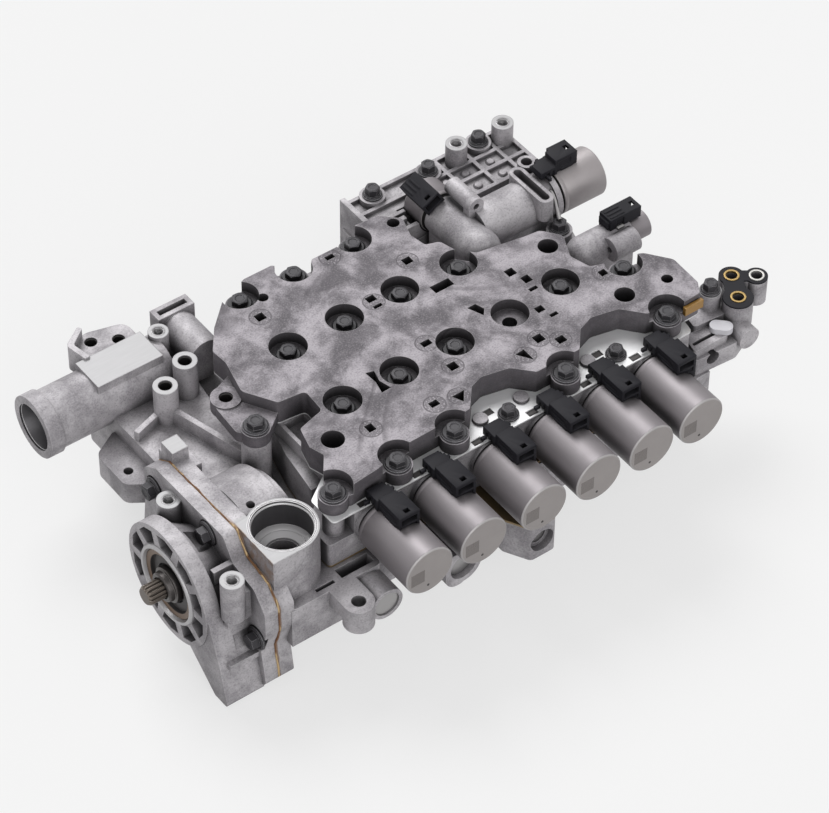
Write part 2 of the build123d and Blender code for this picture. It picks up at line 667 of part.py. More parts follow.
# Pump cover: round bearing housing with spokes, on a flange, with an apron below
def pump_cover():
    body = plate_across_x(pump_flange, flange_x, gasket_x - gasket_thickness)
    ring_back_x = cover_face_x + front_ring_thickness
    length = flange_x - ring_back_x
    neck = Pos((flange_x + ring_back_x) / 2, shaft_y, shaft_z) * Rot(0, 90, 0) * Cone(neck_front_r, neck_back_r, length)
    apron = [(-74, 62, 3), (-84, 30, 14), (-91, 0.5, 2), (-78, 0, 2), (-52, 22, 8), (-40, 40, 3)]
    body = body + [
        rod_x(shaft_y, shaft_z, cover_face_x, ring_back_x, front_ring_r),
        neck,
        plate_across_x(apron, cover_face_x + 1, flange_x + 1),
        rod_z(*cover_boss_1, 66, cover_boss_1_top, cover_boss_r),
        rod_z(*cover_boss_2, cover_boss_2_top - cover_boss_length, cover_boss_2_top, cover_boss_r),
        block(cover_boss_2[0], flange_x + 1, -81, -72, 56, 78),
        rib_across(-79, 60, 16),
        rib_across(-62, 80, 13),
        rib_across(-72, 24, 12),
        rib_across(4, 60, 12),
        block(cover_face_x + 6, flange_x + 1, -88, -76, 27, 31),
    ]
    cuts = [rod_z(*cover_boss_1, cover_boss_1_top - cover_boss_hole_depth, 120, cover_boss_hole_r)]
    cuts += [rod_z(*cover_boss_2, cover_boss_2_top - cover_boss_hole_depth, 120, cover_boss_hole_r)]
    for y, z in cover_bolt_yz:
        cuts += [rod_x(y, z, flange_x - 1, gasket_x + 1, bolt_hole_r)]
        cuts += [rod_x(y, z, flange_x - 12, flange_x + pump_seat_depth, flange_r + 1.6)]
    cuts += spoke_pockets()
    cuts += [rod_x(shaft_y, shaft_z, cover_face_x - 1, cover_face_x + 2 + seal_depth + bearing_depth, bearing_r)]
    cuts += [rod_x(shaft_y, shaft_z, cover_face_x, gasket_x, shaft_r + shaft_clearance)]
    return body - cuts


def rib_across(y, z, length):
    """A short rib that stands forward from the cover's flange."""
    return block(flange_x - length, flange_x + 1, y - 1.8, y + 1.8, z - 5, z + 5)


def spoke_pockets():
    """Pockets between the spokes of the cover's front ring."""
    pockets = []
    for i in range(spoke_count):
        sector = make_face(Polyline(*sector_corners(i), close=True))
        across = Plane(origin=(cover_face_x - 1, shaft_y, shaft_z), x_dir=(0, 1, 0), z_dir=(1, 0, 0))
        pockets += [across * extrude(sector, spoke_depth + 1)]
    return pockets


def sector_corners(index):
    step = 2 * pi / spoke_count
    mid = step * index + 0.3
    inner = step * 0.31
    outer = step * 0.38
    corners = [(spoke_inner_r, -inner), (spoke_outer_r, -outer), (spoke_outer_r + 1.2, 0), (spoke_outer_r, outer),
               (spoke_inner_r, inner)]
    return [(r * cos(mid + a), r * sin(mid + a)) for r, a in corners]


def pump_gasket():
    sheet = plate_across_x(pump_flange, gasket_x - gasket_thickness, gasket_x)
    holes = [rod_x(y, z, gasket_x - 3, gasket_x + 1, bolt_hole_r) for y, z in cover_bolt_yz]
    holes += [rod_x(shaft_y, shaft_z - rotor_offset, gasket_x - 3, gasket_x + 1, outer_rotor_r + 1)]
    return sheet - holes


def rotor_profile(inner_pin_r):
    """Outline of the inner rotor, rolled inside the ring of round teeth, in short even steps."""
    points = []
    steps = 3600
    for i in range(steps):
        t = 2 * pi * i / steps
        turn = (1 - pin_count) * t
        psi = atan2(sin(turn), pin_ring_r / (rotor_offset * pin_count) - cos(turn))
        x = pin_ring_r * cos(t) - inner_pin_r * cos(t + psi) - rotor_offset * cos(pin_count * t)
        y = -pin_ring_r * sin(t) + inner_pin_r * sin(t + psi) + rotor_offset * sin(pin_count * t)
        if not points or hypot(x - points[-1][1], y - points[-1][0]) > profile_step:
            points += [(y, x)]
    if hypot(points[0][0] - points[-1][0], points[0][1] - points[-1][1]) < profile_step / 2:
        points = points[:-1]
    return points


def across_shaft(centre_z, flat, x0, depth):
    """Extrude a flat shape along +X, its own X on world Y and its own Y on world Z."""
    return Plane(origin=(x0, shaft_y, centre_z), x_dir=(0, 1, 0), z_dir=(1, 0, 0)) * extrude(flat, depth)


def inner_rotor():
    flat = make_face(Polyline(*rotor_profile(pin_r + tooth_clearance), close=True))
    body = across_shaft(shaft_z, flat, gasket_x + rotor_clearance, rotor_depth)
    return body - rod_x(shaft_y, shaft_z, gasket_x - 1, rotor_end_x + 2, shaft_r)


def outer_rotor():
    """A ring whose inner wall carries the round teeth, with valleys clear of the inner rotor."""
    valley_r = pin_ring_r - pin_r + 2 * rotor_offset + 1.5
    flat = Circle(outer_rotor_r) - Circle(valley_r)
    for i in range(pin_count):
        angle = 2 * pi * i / pin_count
        flat = flat + Pos(pin_ring_r * sin(angle), pin_ring_r * cos(angle)) * Circle(pin_r)
    return across_shaft(shaft_z - rotor_offset, flat, gasket_x + rotor_clearance, rotor_depth)


def drive_shaft():
    body = rod_x(shaft_y, shaft_z, cover_face_x + 1, rotor_end_x + 13, shaft_r)
    corners = []
    step = 2 * pi / spline_teeth
    for i in range(spline_teeth):
        for r, a in ((spline_root_r, -0.42), (spline_r, -0.22), (spline_r, 0.22), (spline_root_r, 0.42)):
            corners += [(r * cos((i + a) * step), r * sin((i + a) * step))]
    spline = across_shaft(shaft_z, make_face(Polyline(*corners, close=True)), shaft_tip_x, cover_face_x + 2 - shaft_tip_x)
    tip = Pos(shaft_tip_x + 1.2, shaft_y, shaft_z) * Rot(0, 90, 0) * Cone(spline_root_r, spline_r + 0.4, 2.4)
    rest = rod_x(shaft_y, shaft_z, shaft_tip_x + 2.4, cover_face_x + 3, spline_r + 0.4)
    return body + (spline & (tip + rest))


def pump_seal_and_bearing():
    face = cover_face_x + 2
    hole = rod_x(shaft_y, shaft_z, face - 2, gasket_x, shaft_r + shaft_clearance)
    seal = rod_x(shaft_y, shaft_z, face + 1.5, face + seal_depth, seal_r) - hole
    bearing = rod_x(shaft_y, shaft_z, face + seal_depth, face + seal_depth + bearing_depth, bearing_r) - hole
    lip = rod_x(shaft_y, shaft_z, face - 1, face + seal_depth, bearing_r)
    lip = lip - rod_x(shaft_y, shaft_z, face - 2, face + seal_depth + 1, bearing_r - lip_width)
    return seal, bearing + lip


# Rear body: ribbed casting with tall bosses
def rear_body():
    outer = [(36, 97, 2), (36, 127, 8), (52, 134, 5), (166, 134, 6), (167, 90, 5), (55, 90, 3), (47, 97, 2)]
    body = slab(outer, main_top_z, rear_base_z - 6)
    rib_y = [92, 106, 118, 132]
    ribs = [block(46, 165, y - 1.3, y + 1.3, rear_base_z - 8, rear_rib_z) for y in rib_y]
    ribs += [block(x - 1.3, x + 1.3, 91, 133, rear_base_z - 8, rear_rib_z) for x in (112, 132, 151, 164.6)]
    ribs += [rod_z(x, y, rear_base_z - 8, rear_boss_top_z, rear_boss_r) for x, y in rear_boss_places]
    ribs += [rod_z(x, y, rear_base_z - 8, rear_rib_z + 2, flange_r + 1.6) for x, y in rear_bolt_places]
    ribs += [block(37, 40.5, 100, 129, main_top_z, 107), block(37, 66, 98, 101.5, main_top_z, 99)]
    body = body + ribs
    cuts = [rod_z(x, y, rear_boss_top_z - 16, 120, 3.6) for x, y in rear_boss_places]
    cuts += [rod_z(x, y, rear_rib_z - rear_shank, 120, thread_hole_r) for x, y in rear_bolt_places]
    cuts += [rod_y(left_valve_x, big_axis_z, 80, left_can_end_y + 2, can_fit_r())]
    return body - cuts


def can_fit_r():
    """Radius left free around the left rear can."""
    return left_valve_r + 2.3


def stadium(x, y0, y1, half_width):
    """Corners of a long round-ended outline along Y."""
    r = 0.98 * half_width
    low, high = y0 - half_width, y1 + half_width
    return [(x - half_width, low, r), (x - half_width, high, r), (x + half_width, high, r), (x + half_width, low, r)]


# Rear valve housing: one bore along Y on the left and a large bore along X
def rear_valve_housing():
    body = rod_x(big_axis_y, big_axis_z, left_valve_x + 8, big_flange_x, big_housing_r)
    body = body + [
        rod_x(big_axis_y, big_axis_z, big_flange_x, big_can_x, big_housing_r + 1.8),
        rod_y(left_valve_x, big_axis_z, left_valve_front_y + 5, left_joint_y, left_valve_r),
        Pos(left_valve_x, left_valve_front_y + 5, big_axis_z) * Sphere(left_valve_r),
        block(left_valve_x - 11, left_valve_x + 11, 46, 86, main_top_z, big_axis_z - 4),
        block(left_valve_x + 8, big_flange_x, big_axis_y - 13, big_axis_y + 13, main_top_z, big_axis_z),
        rod_y(finger_x, finger_z, finger_front_y, finger_front_y + finger_length, finger_r),
        block(finger_x - 5.4, finger_x + 5.4, finger_front_y, finger_front_y + 6, 104, finger_z),
        slab(stadium(loop_x, *loop_y, loop_half_width), 100, loop_top_z),
        rod_z(*ear_place, 98, ear_top_z, ear_boss_r),
        rod_z(*pipe_bolt_place, main_top_z, pipe_bolt_z, flange_r + 1.4),
        block(128, 142, 36, 54, main_top_z, 86),
    ]
    cuts = [slab(stadium(loop_x, *loop_y, loop_half_width - loop_wall), loop_top_z - 7, loop_top_z + 1)]
    cuts += [rod_z(*ear_place, ear_top_z - 9, ear_top_z + 1, ear_hole_r)]
    cuts += [rod_x(big_axis_y, big_axis_z, big_can_x, big_can_x + 10, can_r + 0.3)]
    cuts += [rod_x(big_axis_y, big_axis_z, big_can_x - nose_length, big_can_x + 1, valve_bore_r)]
    bore_end = big_can_x - nose_length - big_spool_length - 3 * spool_gap - rear_spring_length
    cuts += [rod_x(big_axis_y, big_axis_z, bore_end, big_can_x, big_spool_bore_r)]
    cuts += [rod_y(left_valve_x, big_axis_z, left_joint_y - nose_length, left_joint_y + 1, valve_bore_r)]
    cuts += [rod_y(finger_x, finger_z, finger_front_y - 1, finger_front_y + 8, 2.2)]
    cuts += [rod_z(*pipe_bolt_place, pipe_bolt_z - 18, pipe_bolt_z + 1, thread_hole_r)]
    return body - cuts


def side_valve_housing():
    body = rod_x(side_axis_y, side_axis_z, 136, side_can_x, side_housing_r)
    body = body + [
        Pos(136, side_axis_y, side_axis_z) * Sphere(side_housing_r),
        rod_x(side_axis_y - 11, side_axis_z + 4, 148, side_can_x - 2, 8),
        block(134, side_can_x, side_axis_y - 9, side_axis_y + 9, main_top_z, side_axis_z),
    ]
    cuts = [rod_x(side_axis_y - 11, side_axis_z + 4, 147, 152, 2)]
    cuts += [rod_x(side_axis_y, side_axis_z, side_can_x - 10, side_can_x + 1, 6.05)]
    return body - cuts


def strap():
    """A thin band over the side valve."""
    band = rod_x(side_axis_y, side_axis_z, strap_x, strap_x + 5, strap_r)
    band = band - rod_x(side_axis_y, side_axis_z, strap_x - 1, strap_x + 6, side_housing_r)
    band = band & block(strap_x - 1, strap_x + 6, side_axis_y - 5, side_axis_y + 20, side_axis_z + 1, side_axis_z + 20)
    return band


# Right end block with the connector flange
def end_block():
    low = [(147.5, -86, 2), (152, -62, 2), (160, -44, 3), (196, -48, 6), (200, -78, 8), (178, -88, 6)]
    body = slab(low, main_top_z, end_block_top_z - 6)
    body = body + [
        slab([(148, -84, 2), (151, -70, 2), (176, -68, 3), (177, -84, 5)], main_top_z, end_block_top_z),
        slab([(158.5, -70, 2), (162.5, -50, 3), (180, -48, 3), (184, -72, 3)], 62, end_deck_z),
        rod_z(*end_bolt_place, 62, end_boss_top_z, end_boss_r),
        rod_y(186.5, 74, -90, -60, 7.5),
    ]
    body = body + end_flange(74, end_pad_z)
    body = body - slab([(150, -100, 1), (150, -40, 1), (158.2, -40, 1), (158.2, -66, 1)], end_block_top_z + 0.5, 100)
    cuts = [rod_y(right_lug_bore[0], right_lug_bore[1], -90, -78, 4.6)]
    cuts += [block(151, 170, -79.5, -77, 70, 90)]
    cuts += [rod_z(x, y, 76, 100, end_hole_r) for x, y in end_hole_places]
    cuts += [rod_z(*end_bolt_place, end_boss_top_z - 20, 100, thread_hole_r)]
    return body - cuts


def end_flange(z0, z1):
    """The three lobes and their two arms, between two levels."""
    shapes = [rod_z(x, y, z0, z1, r) for (x, y), r in zip(end_hole_places, end_lobe_r)]
    shapes += [rib(end_hole_places[0], end_hole_places[1], end_arm_widths[0], z0, z1)]
    shapes += [rib(end_hole_places[0], end_hole_places[2], end_arm_widths[1], z0, z1)]
    return shapes


def end_gasket():
    z0, z1 = end_pad_z, end_pad_z + end_gasket_thickness
    shapes = end_flange(z0, z1)
    sheet = shapes[0] + shapes[1:]
    return sheet - [rod_z(x, y, z0 - 1, z1 + 1, eyelet_r) for x, y in end_hole_places]


def eyelets():
    z0 = end_pad_z
    z1 = z0 + end_gasket_thickness + eyelet_height
    return [rod_z(x, y, z0, z1, eyelet_r) - rod_z(x, y, z0 - 1, z1 + 1, end_hole_r) for x, y in end_hole_places]


os.makedirs("parts", exist_ok=True)

save("upper_body", upper_body())
save("separator_plate", separator_plate())
save("middle_body", middle_body())
save("bronze_plate", bronze_plate())
save("main_body", main_body())

# Pump
save("pump_cover", pump_cover())
save("pump_gasket", pump_gasket())
save("inner_rotor", inner_rotor())
save("outer_rotor", outer_rotor())
save("drive_shaft", drive_shaft())
seal, bearing = pump_seal_and_bearing()
save("shaft_seal", seal)
save("shaft_bearing", bearing)
cover_screw = Rot(0, -90, 0) * flange_bolt(cover_screw_shank)
save("pump_bolts", *[Pos(flange_x + pump_seat_depth, y, z) * cover_screw for y, z in cover_bolt_yz])

# Front row: cans, sockets, spools and springs
front_can = solenoid(can_length, can_r, nose_length, nose_r)
front_socket = plug_socket(socket_length, socket_width, socket_height, socket_step, 8.0, 8.0)
front_spool = valve_spool(land_lengths, groove_length, spool_r, spool_waist_r)
front_spring = spring(spring_length, spring_coil_r)
for number, x in enumerate(solenoid_x, start=1):
    save(f"solenoid_{number}", Pos(x, can_back_y, solenoid_z) * front_can)
    socket = Pos(x + socket_offset_x, socket_front_y, solenoid_z + can_r) * front_socket
    socket = socket - rod_y(x, solenoid_z, socket_front_y - 1, can_back_y + 0.3, can_r)
    save(f"connector_{number}", socket)
    spool_y = can_back_y + nose_length + spool_gap
    save(f"spool_{number}", Pos(x, spool_y, solenoid_z) * front_spool)
    save(f"spring_{number}", Pos(x, spool_y + spool_length() + spool_gap, solenoid_z) * front_spring)

# Bolts of the stack and of the steel plate
stack_bolt = flange_bolt(stack_shank, cover_hex_across, cover_flange_r)
save("cover_bolts", *[Pos(x, y, seat_z) * stack_bolt for x, y in cover_bolt_places])
save("plate_bolts", *[Pos(x, y, upper_bottom_z) * flange_bolt(16) for x, y in plate_bolt_places])

# Rear housings, their solenoids, sockets and bolts
save("rear_body", rear_body())
save("rear_valve_housing", rear_valve_housing())
save("side_valve_housing", side_valve_housing())
big_can = Rot(0, 0, 90) * solenoid(big_can_end_x - big_can_x, can_r, nose_length, nose_r)
save("rear_solenoid", Pos(big_can_x, big_axis_y, big_axis_z) * big_can)
left_can = Rot(0, 0, 180) * solenoid(left_can_end_y - left_joint_y, left_valve_r + 1.5, nose_length, nose_r)
save("left_rear_solenoid", Pos(left_valve_x, left_joint_y, big_axis_z) * left_can)
side_can = rod_x(side_axis_y, side_axis_z, side_can_x, side_can_end_x, side_can_r)
side_can = side_can + rod_x(side_axis_y, side_axis_z, side_can_x - 8, side_can_x + 1, 6)
save("side_solenoid", side_can)
rear_spool = valve_spool(big_lands, big_groove, big_spool_r, spool_waist_r)
spool_start = big_can_x - nose_length - spool_gap
save("rear_spool", Pos(spool_start, big_axis_y, big_axis_z) * Rot(0, 0, 90) * rear_spool)
spring_start = spool_start - big_spool_length - spool_gap
rear_spring = Rot(0, 0, 90) * spring(rear_spring_length, spring_coil_r)
save("rear_spring", Pos(spring_start, big_axis_y, big_axis_z) * rear_spring)
big_socket = Rot(0, 0, 90) * plug_socket(30, 13, 10, 4, 8, 12.2)
big_socket = Pos(168, big_axis_y + 4, big_axis_z + can_r) * big_socket
save("rear_connector", big_socket - rod_x(big_axis_y, big_axis_z, 130, 190, can_r))
left_socket = Pos(0, left_joint_y - 4, left_valve_r + 1.5) * plain_socket(25, 14, 9, 8)
left_socket = Pos(left_valve_x, 0, big_axis_z) * Rot(0, -30, 0) * left_socket
save("left_rear_connector", left_socket - rod_y(left_valve_x, big_axis_z, 80, 110, left_valve_r + 1.5))
side_socket = Rot(0, 0, 90) * plain_socket(25, 11, 8, 6)
side_socket = Pos(178, side_axis_y + 2, side_axis_z + side_housing_r) * side_socket
side_socket = side_socket - rod_x(side_axis_y, side_axis_z, 140, 190, side_housing_r)
save("side_connector", side_socket - rod_x(side_axis_y, side_axis_z, strap_x - 0.2, strap_x + 5.2, strap_r))
save("strap", strap())
rear_bolt = flange_bolt(rear_shank - 2)
rear_bolts = [Pos(x, y, rear_rib_z + 2) * rear_bolt for x, y in rear_bolt_places]
rear_bolts += [Pos(*pipe_bolt_place, pipe_bolt_z) * flange_bolt(16), Pos(*end_bolt_place, end_boss_top_z) * flange_bolt(18)]
save("housing_bolts", *rear_bolts)

# Right end
save("end_block", end_block())
save("end_gasket", end_gasket())
save("amber_wedge", block(143.6, 157.5, -77.4, -74.8, 107.5, 113.5))
clip_ends = [(171.0, -76.4), (175.0, -80.4)]
clip = [rod_z(*end, end_block_top_z, end_block_top_z + 4, 4.4) for end in clip_ends]
clip += [rib(*clip_ends, 8.8, end_block_top_z, end_block_top_z + 4)]
save("white_clip", clip[0] + clip[1:])
save("eyelets", *eyelets())

# Plugs in the front bores
plug = rod_y(plug_bore_x, lug_bore_z, plug_bore_face_y + 1, -100, 8.45)
ring_plug = rod_y(ring_lug_x, lug_bore_z, ring_lug_face_y + 4, -96, 9.45)
end_plug = rod_y(end_lug_x, lug_bore_z, end_lug_face_y + 6, -104, 5.55)
save("end_plugs", plug, ring_plug, end_plug)
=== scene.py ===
# %% [markdown]
# A transmission valve body with its pump, dressed in Blender around a CAD frame.
# The frame gives every casting, plate and bore its exact place, so this script only adds looks:
# turned solenoid cans, moulded plugs, bolts, and procedural finishes for cast, rolled and moulded surfaces.

# %% Load the frame
import bpy
import bmesh
import json
import random
from functools import partial
from math import cos, hypot, pi, radians, sin
from mathutils import Matrix, Vector


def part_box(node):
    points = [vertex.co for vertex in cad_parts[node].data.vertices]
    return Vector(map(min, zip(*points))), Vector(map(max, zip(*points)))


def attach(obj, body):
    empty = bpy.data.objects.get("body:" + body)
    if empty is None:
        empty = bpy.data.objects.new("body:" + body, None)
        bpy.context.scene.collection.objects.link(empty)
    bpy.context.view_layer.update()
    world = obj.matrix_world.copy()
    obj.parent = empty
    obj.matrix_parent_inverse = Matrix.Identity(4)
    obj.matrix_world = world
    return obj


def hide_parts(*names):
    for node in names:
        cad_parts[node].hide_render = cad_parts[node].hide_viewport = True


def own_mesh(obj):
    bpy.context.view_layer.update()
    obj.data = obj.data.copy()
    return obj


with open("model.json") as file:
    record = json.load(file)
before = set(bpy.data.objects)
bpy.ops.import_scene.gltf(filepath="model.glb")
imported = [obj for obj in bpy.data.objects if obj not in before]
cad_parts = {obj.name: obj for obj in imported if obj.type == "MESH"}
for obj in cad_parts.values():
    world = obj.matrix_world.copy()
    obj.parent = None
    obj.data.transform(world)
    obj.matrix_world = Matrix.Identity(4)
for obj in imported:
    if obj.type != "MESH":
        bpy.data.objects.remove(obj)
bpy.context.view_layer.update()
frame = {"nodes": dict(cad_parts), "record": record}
nodes = frame["nodes"]

# %% [markdown]
# Four helpers keep settings and node trees short: one sets many attributes, one puts an object in the
# scene, and two make a node and set or link its inputs.

# %% Helpers for objects and nodes
def set_all(thing, **settings):
    for key, value in settings.items():
        setattr(thing, key, value)


def new_object(name, data):
    thing = bpy.data.objects.new(name, data)
    bpy.context.scene.collection.objects.link(thing)
    return thing


def fill(tree, node, values):
    """Link a node's inputs to sockets, or set them to numbers, vectors and colours."""
    for key, value in values.items():
        socket = node.inputs[key]
        if hasattr(value, "is_output"):
            tree.links.new(value, socket)
        elif value is not None:
            opaque = socket.type == "RGBA" and len(value) == 3
            socket.default_value = (*value, 1.0) if opaque else value


def new_node(tree, kind, inputs=None, **settings):
    node = tree.nodes.new(kind)
    set_all(node, **settings)
    fill(tree, node, inputs or {})
    return node


# %% [markdown]
# The photograph was taken from above and in front with a long lens, so lines stay almost parallel.
# The camera stands where the bolts, cans and bosses of the frame fall on their places in the picture.

# %% Camera
LENS = 157.6
SENSOR_WIDTH = 36.0
CLIP = (0.05, 60.0)
CAMERA_AZIMUTH = 37.0
CAMERA_ELEVATION = 45.7
CAMERA_ROLL = 0.6
CAMERA_PLACE = Vector((-0.92396, -1.22532, 1.62567))

scene = bpy.context.scene
camera_data = bpy.data.cameras.new("studio_camera")
set_all(camera_data, lens=LENS, sensor_width=SENSOR_WIDTH, clip_start=CLIP[0], clip_end=CLIP[1])
camera = new_object("studio_camera", camera_data)
azimuth, elevation = radians(CAMERA_AZIMUTH), radians(CAMERA_ELEVATION)
sight = Vector((sin(azimuth) * cos(elevation), cos(azimuth) * cos(elevation), -sin(elevation)))
roll = Matrix.Rotation(radians(CAMERA_ROLL), 3, "Z")
aim = (sight.to_track_quat("-Z", "Y").to_matrix() @ roll).to_quaternion()
set_all(camera, location=CAMERA_PLACE, rotation_mode="QUATERNION", rotation_quaternion=aim)
scene.camera = camera
print("camera at", camera.location)

# %% [markdown]
# Studio light is a wide soft sun from above and behind, a weaker one from the front, and a pale room
# all round. The suns light the floor evenly. The room is pale to the camera and to shiny metal, and
# dimmer as a light.

# %% World, floor and lamps
PALE = (0.888, 0.888, 0.888)
ROOM_LIGHT = 0.38
FLOOR_COLOR = (0.25, 0.25, 0.25)
FLOOR_GLOW = (0.655, 0.655, 0.655)
FLOOR_HALF_SIZE = 9.0
FLOOR_DROP = 0.0004
LAMPS = {"key_light": ((0.16, 0.6, 0.78), 34.0, 1.9), "front_light": ((-0.26, -0.8, 0.46), 60.0, 1.42)}


def show_apart(tree, output, as_light, as_seen):
    """One shader for rays that only light, another for those that the camera sees."""
    path = new_node(tree, "ShaderNodeLightPath").outputs
    shown = path["Is Camera Ray"]
    for title in ("Is Glossy Ray", "Is Transmission Ray"):
        shown = new_node(tree, "ShaderNodeMath", {0: shown, 1: path[title]}, operation="MAXIMUM").outputs[0]
    mix = new_node(tree, "ShaderNodeMixShader", {0: shown, 1: as_light.outputs[0], 2: as_seen.outputs[0]})
    new_node(tree, output, {"Surface": mix.outputs[0]})


def empty_tree(owner):
    owner.use_nodes = True
    owner.node_tree.nodes.clear()
    return owner.node_tree


def build_world():
    world = bpy.data.worlds.new("pale_room")
    tree = empty_tree(world)
    seen = new_node(tree, "ShaderNodeBackground", {"Color": PALE})
    dim = new_node(tree, "ShaderNodeBackground", {"Color": PALE, "Strength": ROOM_LIGHT})
    show_apart(tree, "ShaderNodeOutputWorld", dim, seen)
    return world


def build_floor():
    bm = bmesh.new()
    bmesh.ops.create_grid(bm, x_segments=1, y_segments=1, size=FLOOR_HALF_SIZE)
    mesh = bpy.data.meshes.new("floor")
    bm.to_mesh(mesh)
    bm.free()
    floor = new_object("floor", mesh)
    floor.location.z = -FLOOR_DROP
    material = bpy.data.materials.new("pale_floor")
    tree = empty_tree(material)
    diffuse = new_node(tree, "ShaderNodeBsdfDiffuse", {"Color": FLOOR_COLOR})
    glow = new_node(tree, "ShaderNodeEmission", {"Color": FLOOR_GLOW})
    both = new_node(tree, "ShaderNodeAddShader", {0: diffuse.outputs[0], 1: glow.outputs[0]})
    show_apart(tree, "ShaderNodeOutputMaterial", diffuse, both)
    mesh.materials.append(material)


def soft_sun(name, comes_from, spread, strength):
    lamp_data = bpy.data.lights.new(name, "SUN")
    set_all(lamp_data, angle=radians(spread), energy=strength)
    aim = (-Vector(comes_from)).to_track_quat("-Z", "Y")
    set_all(new_object(name, lamp_data), location=comes_from, rotation_mode="QUATERNION", rotation_quaternion=aim)


scene.world = build_world()
build_floor()
for name, (comes_from, spread, strength) in LAMPS.items():
    soft_sun(name, comes_from, spread, strength)
scene.view_settings.view_transform = "Standard"
print("lamps:", list(LAMPS))

# %% [markdown]
# Several finishes share the same effects. Each is one node group with named inputs, built once: cast
# grain, worn edges, a round machined spot, an area that a cutter has faced, and the openness of a
# surface, by which finishes paint shade into deep bores and pockets. Short functions stand for the sums in them.

# %% Helpers for shader sums
MM = 0.001
FLOAT, VECTOR, GEOMETRY = "NodeSocketFloat", "NodeSocketVector", "NodeSocketGeometry"
KIND_OF_RESULT = {"VALUE": FLOAT, "VECTOR": VECTOR, "GEOMETRY": GEOMETRY}


def open_group(name, sockets, kind="ShaderNodeTree"):
    """A group with its input sockets, and what they hold."""
    tree = bpy.data.node_groups.new(name, kind)
    for title, socket_kind in sockets.items():
        tree.interface.new_socket(name=title, in_out="INPUT", socket_type=socket_kind)
    return tree, new_node(tree, "NodeGroupInput").outputs


def close_group(tree, **results):
    """Give a group one output socket for each result."""
    titled = {title.replace("_", " "): value for title, value in results.items()}
    for title, value in titled.items():
        tree.interface.new_socket(name=title, in_out="OUTPUT", socket_type=KIND_OF_RESULT[value.type])
    fill(tree, new_node(tree, "NodeGroupOutput"), titled)
    return tree


def math_node(operation, tree, a, b=None, clamp=False):
    return new_node(tree, "ShaderNodeMath", {0: a, 1: b}, operation=operation, use_clamp=clamp).outputs[0]


times, plus, minus, size_of = (partial(math_node, kind) for kind in ("MULTIPLY", "ADD", "SUBTRACT", "ABSOLUTE"))


def vector_math(operation, tree, a, b=None):
    """A vector, or a number for DOT_PRODUCT and DISTANCE."""
    node = new_node(tree, "ShaderNodeVectorMath", {0: a, 1: b}, operation=operation)
    return node.outputs["Value" if operation in ("DOT_PRODUCT", "DISTANCE") else "Vector"]


def separate(tree, vector):
    return new_node(tree, "ShaderNodeSeparateXYZ", {0: vector}).outputs


def greatest(tree, values):
    """The largest of several masks."""
    found = values[0]
    for value in values[1:]:
        found = math_node("MAXIMUM", tree, found, value)
    return found


def map_range(tree, value, low, high, to_low=0.0, to_high=1.0):
    ends = {"Value": value, "From Min": low, "From Max": high, "To Min": to_low, "To Max": to_high}
    return new_node(tree, "ShaderNodeMapRange", ends, interpolation_type="SMOOTHSTEP").outputs["Result"]


def noise(tree, where, scale, **more):
    """Smooth noise. More can give its Detail, Roughness and Distortion."""
    return new_node(tree, "ShaderNodeTexNoise", {"Vector": where, "Scale": scale, **more}).outputs["Fac"]


print("kinds of result:", list(KIND_OF_RESULT))

# %% Shared shader groups
EDGE_RADIUS = 0.0007
OCCLUSION_SAMPLES, EDGE_SAMPLES = 8, 6


def build_cast_grain():
    """Mottled tone and a fine pebbled height, as a die-cast skin has."""
    tree, entry = open_group("cast_grain", {"Vector": VECTOR, "Patch Scale": FLOAT, "Grain Scale": FLOAT})
    patches = noise(tree, entry["Vector"], entry["Patch Scale"], Detail=6.0, Roughness=0.62, Distortion=0.25)
    grain = noise(tree, entry["Vector"], entry["Grain Scale"], Detail=3.0)
    specks, pits = map_range(tree, grain, 0.52, 0.66), map_range(tree, grain, 0.47, 0.34)
    return close_group(tree, Patches=patches, Height=grain, Specks=specks, Pits=pits)


def build_cavity():
    """1 on open surfaces, falling to 0 deep in bores and pockets: the mask by which finishes paint shade."""
    tree, entry = open_group("cavity", {"Reach": FLOAT})
    inputs = {"Distance": entry["Reach"]}
    hollow = new_node(tree, "ShaderNodeAmbientOcclusion", inputs, samples=OCCLUSION_SAMPLES)
    return close_group(tree, Open=map_range(tree, hollow.outputs["AO"], 0.15, 0.85))


def build_worn_edge():
    """1 on sharp edges and 0 on flats, and a normal that rounds those edges."""
    tree, entry = open_group("worn_edge", {"Low": FLOAT, "High": FLOAT})
    rounded = new_node(tree, "ShaderNodeBevel", {"Radius": EDGE_RADIUS}, samples=EDGE_SAMPLES).outputs["Normal"]
    flat = new_node(tree, "ShaderNodeNewGeometry").outputs["Normal"]
    bend = math_node("SUBTRACT", tree, 1.0, vector_math("DOT_PRODUCT", tree, rounded, flat), clamp=True)
    return close_group(tree, Edge=map_range(tree, bend, entry["Low"], entry["High"]), Round_Normal=rounded)


def build_round_spot():
    """A disc of the plan: 1 inside Radius of Centre on top of the casting, and a thin rim round it."""
    tree, entry = open_group("round_spot", {"Vector": VECTOR, "Centre": VECTOR, "Radius": FLOAT})
    flat = vector_math("MULTIPLY", tree, entry["Vector"], (1.0, 1.0, 0.0))
    inside = minus(tree, entry["Radius"], vector_math("DISTANCE", tree, flat, entry["Centre"]))
    rim = map_range(tree, size_of(tree, inside), 0.0002, 0.0006, 1.0, 0.0)
    return close_group(tree, Spot=map_range(tree, inside, 0.0, 0.0004), Rim=rim)


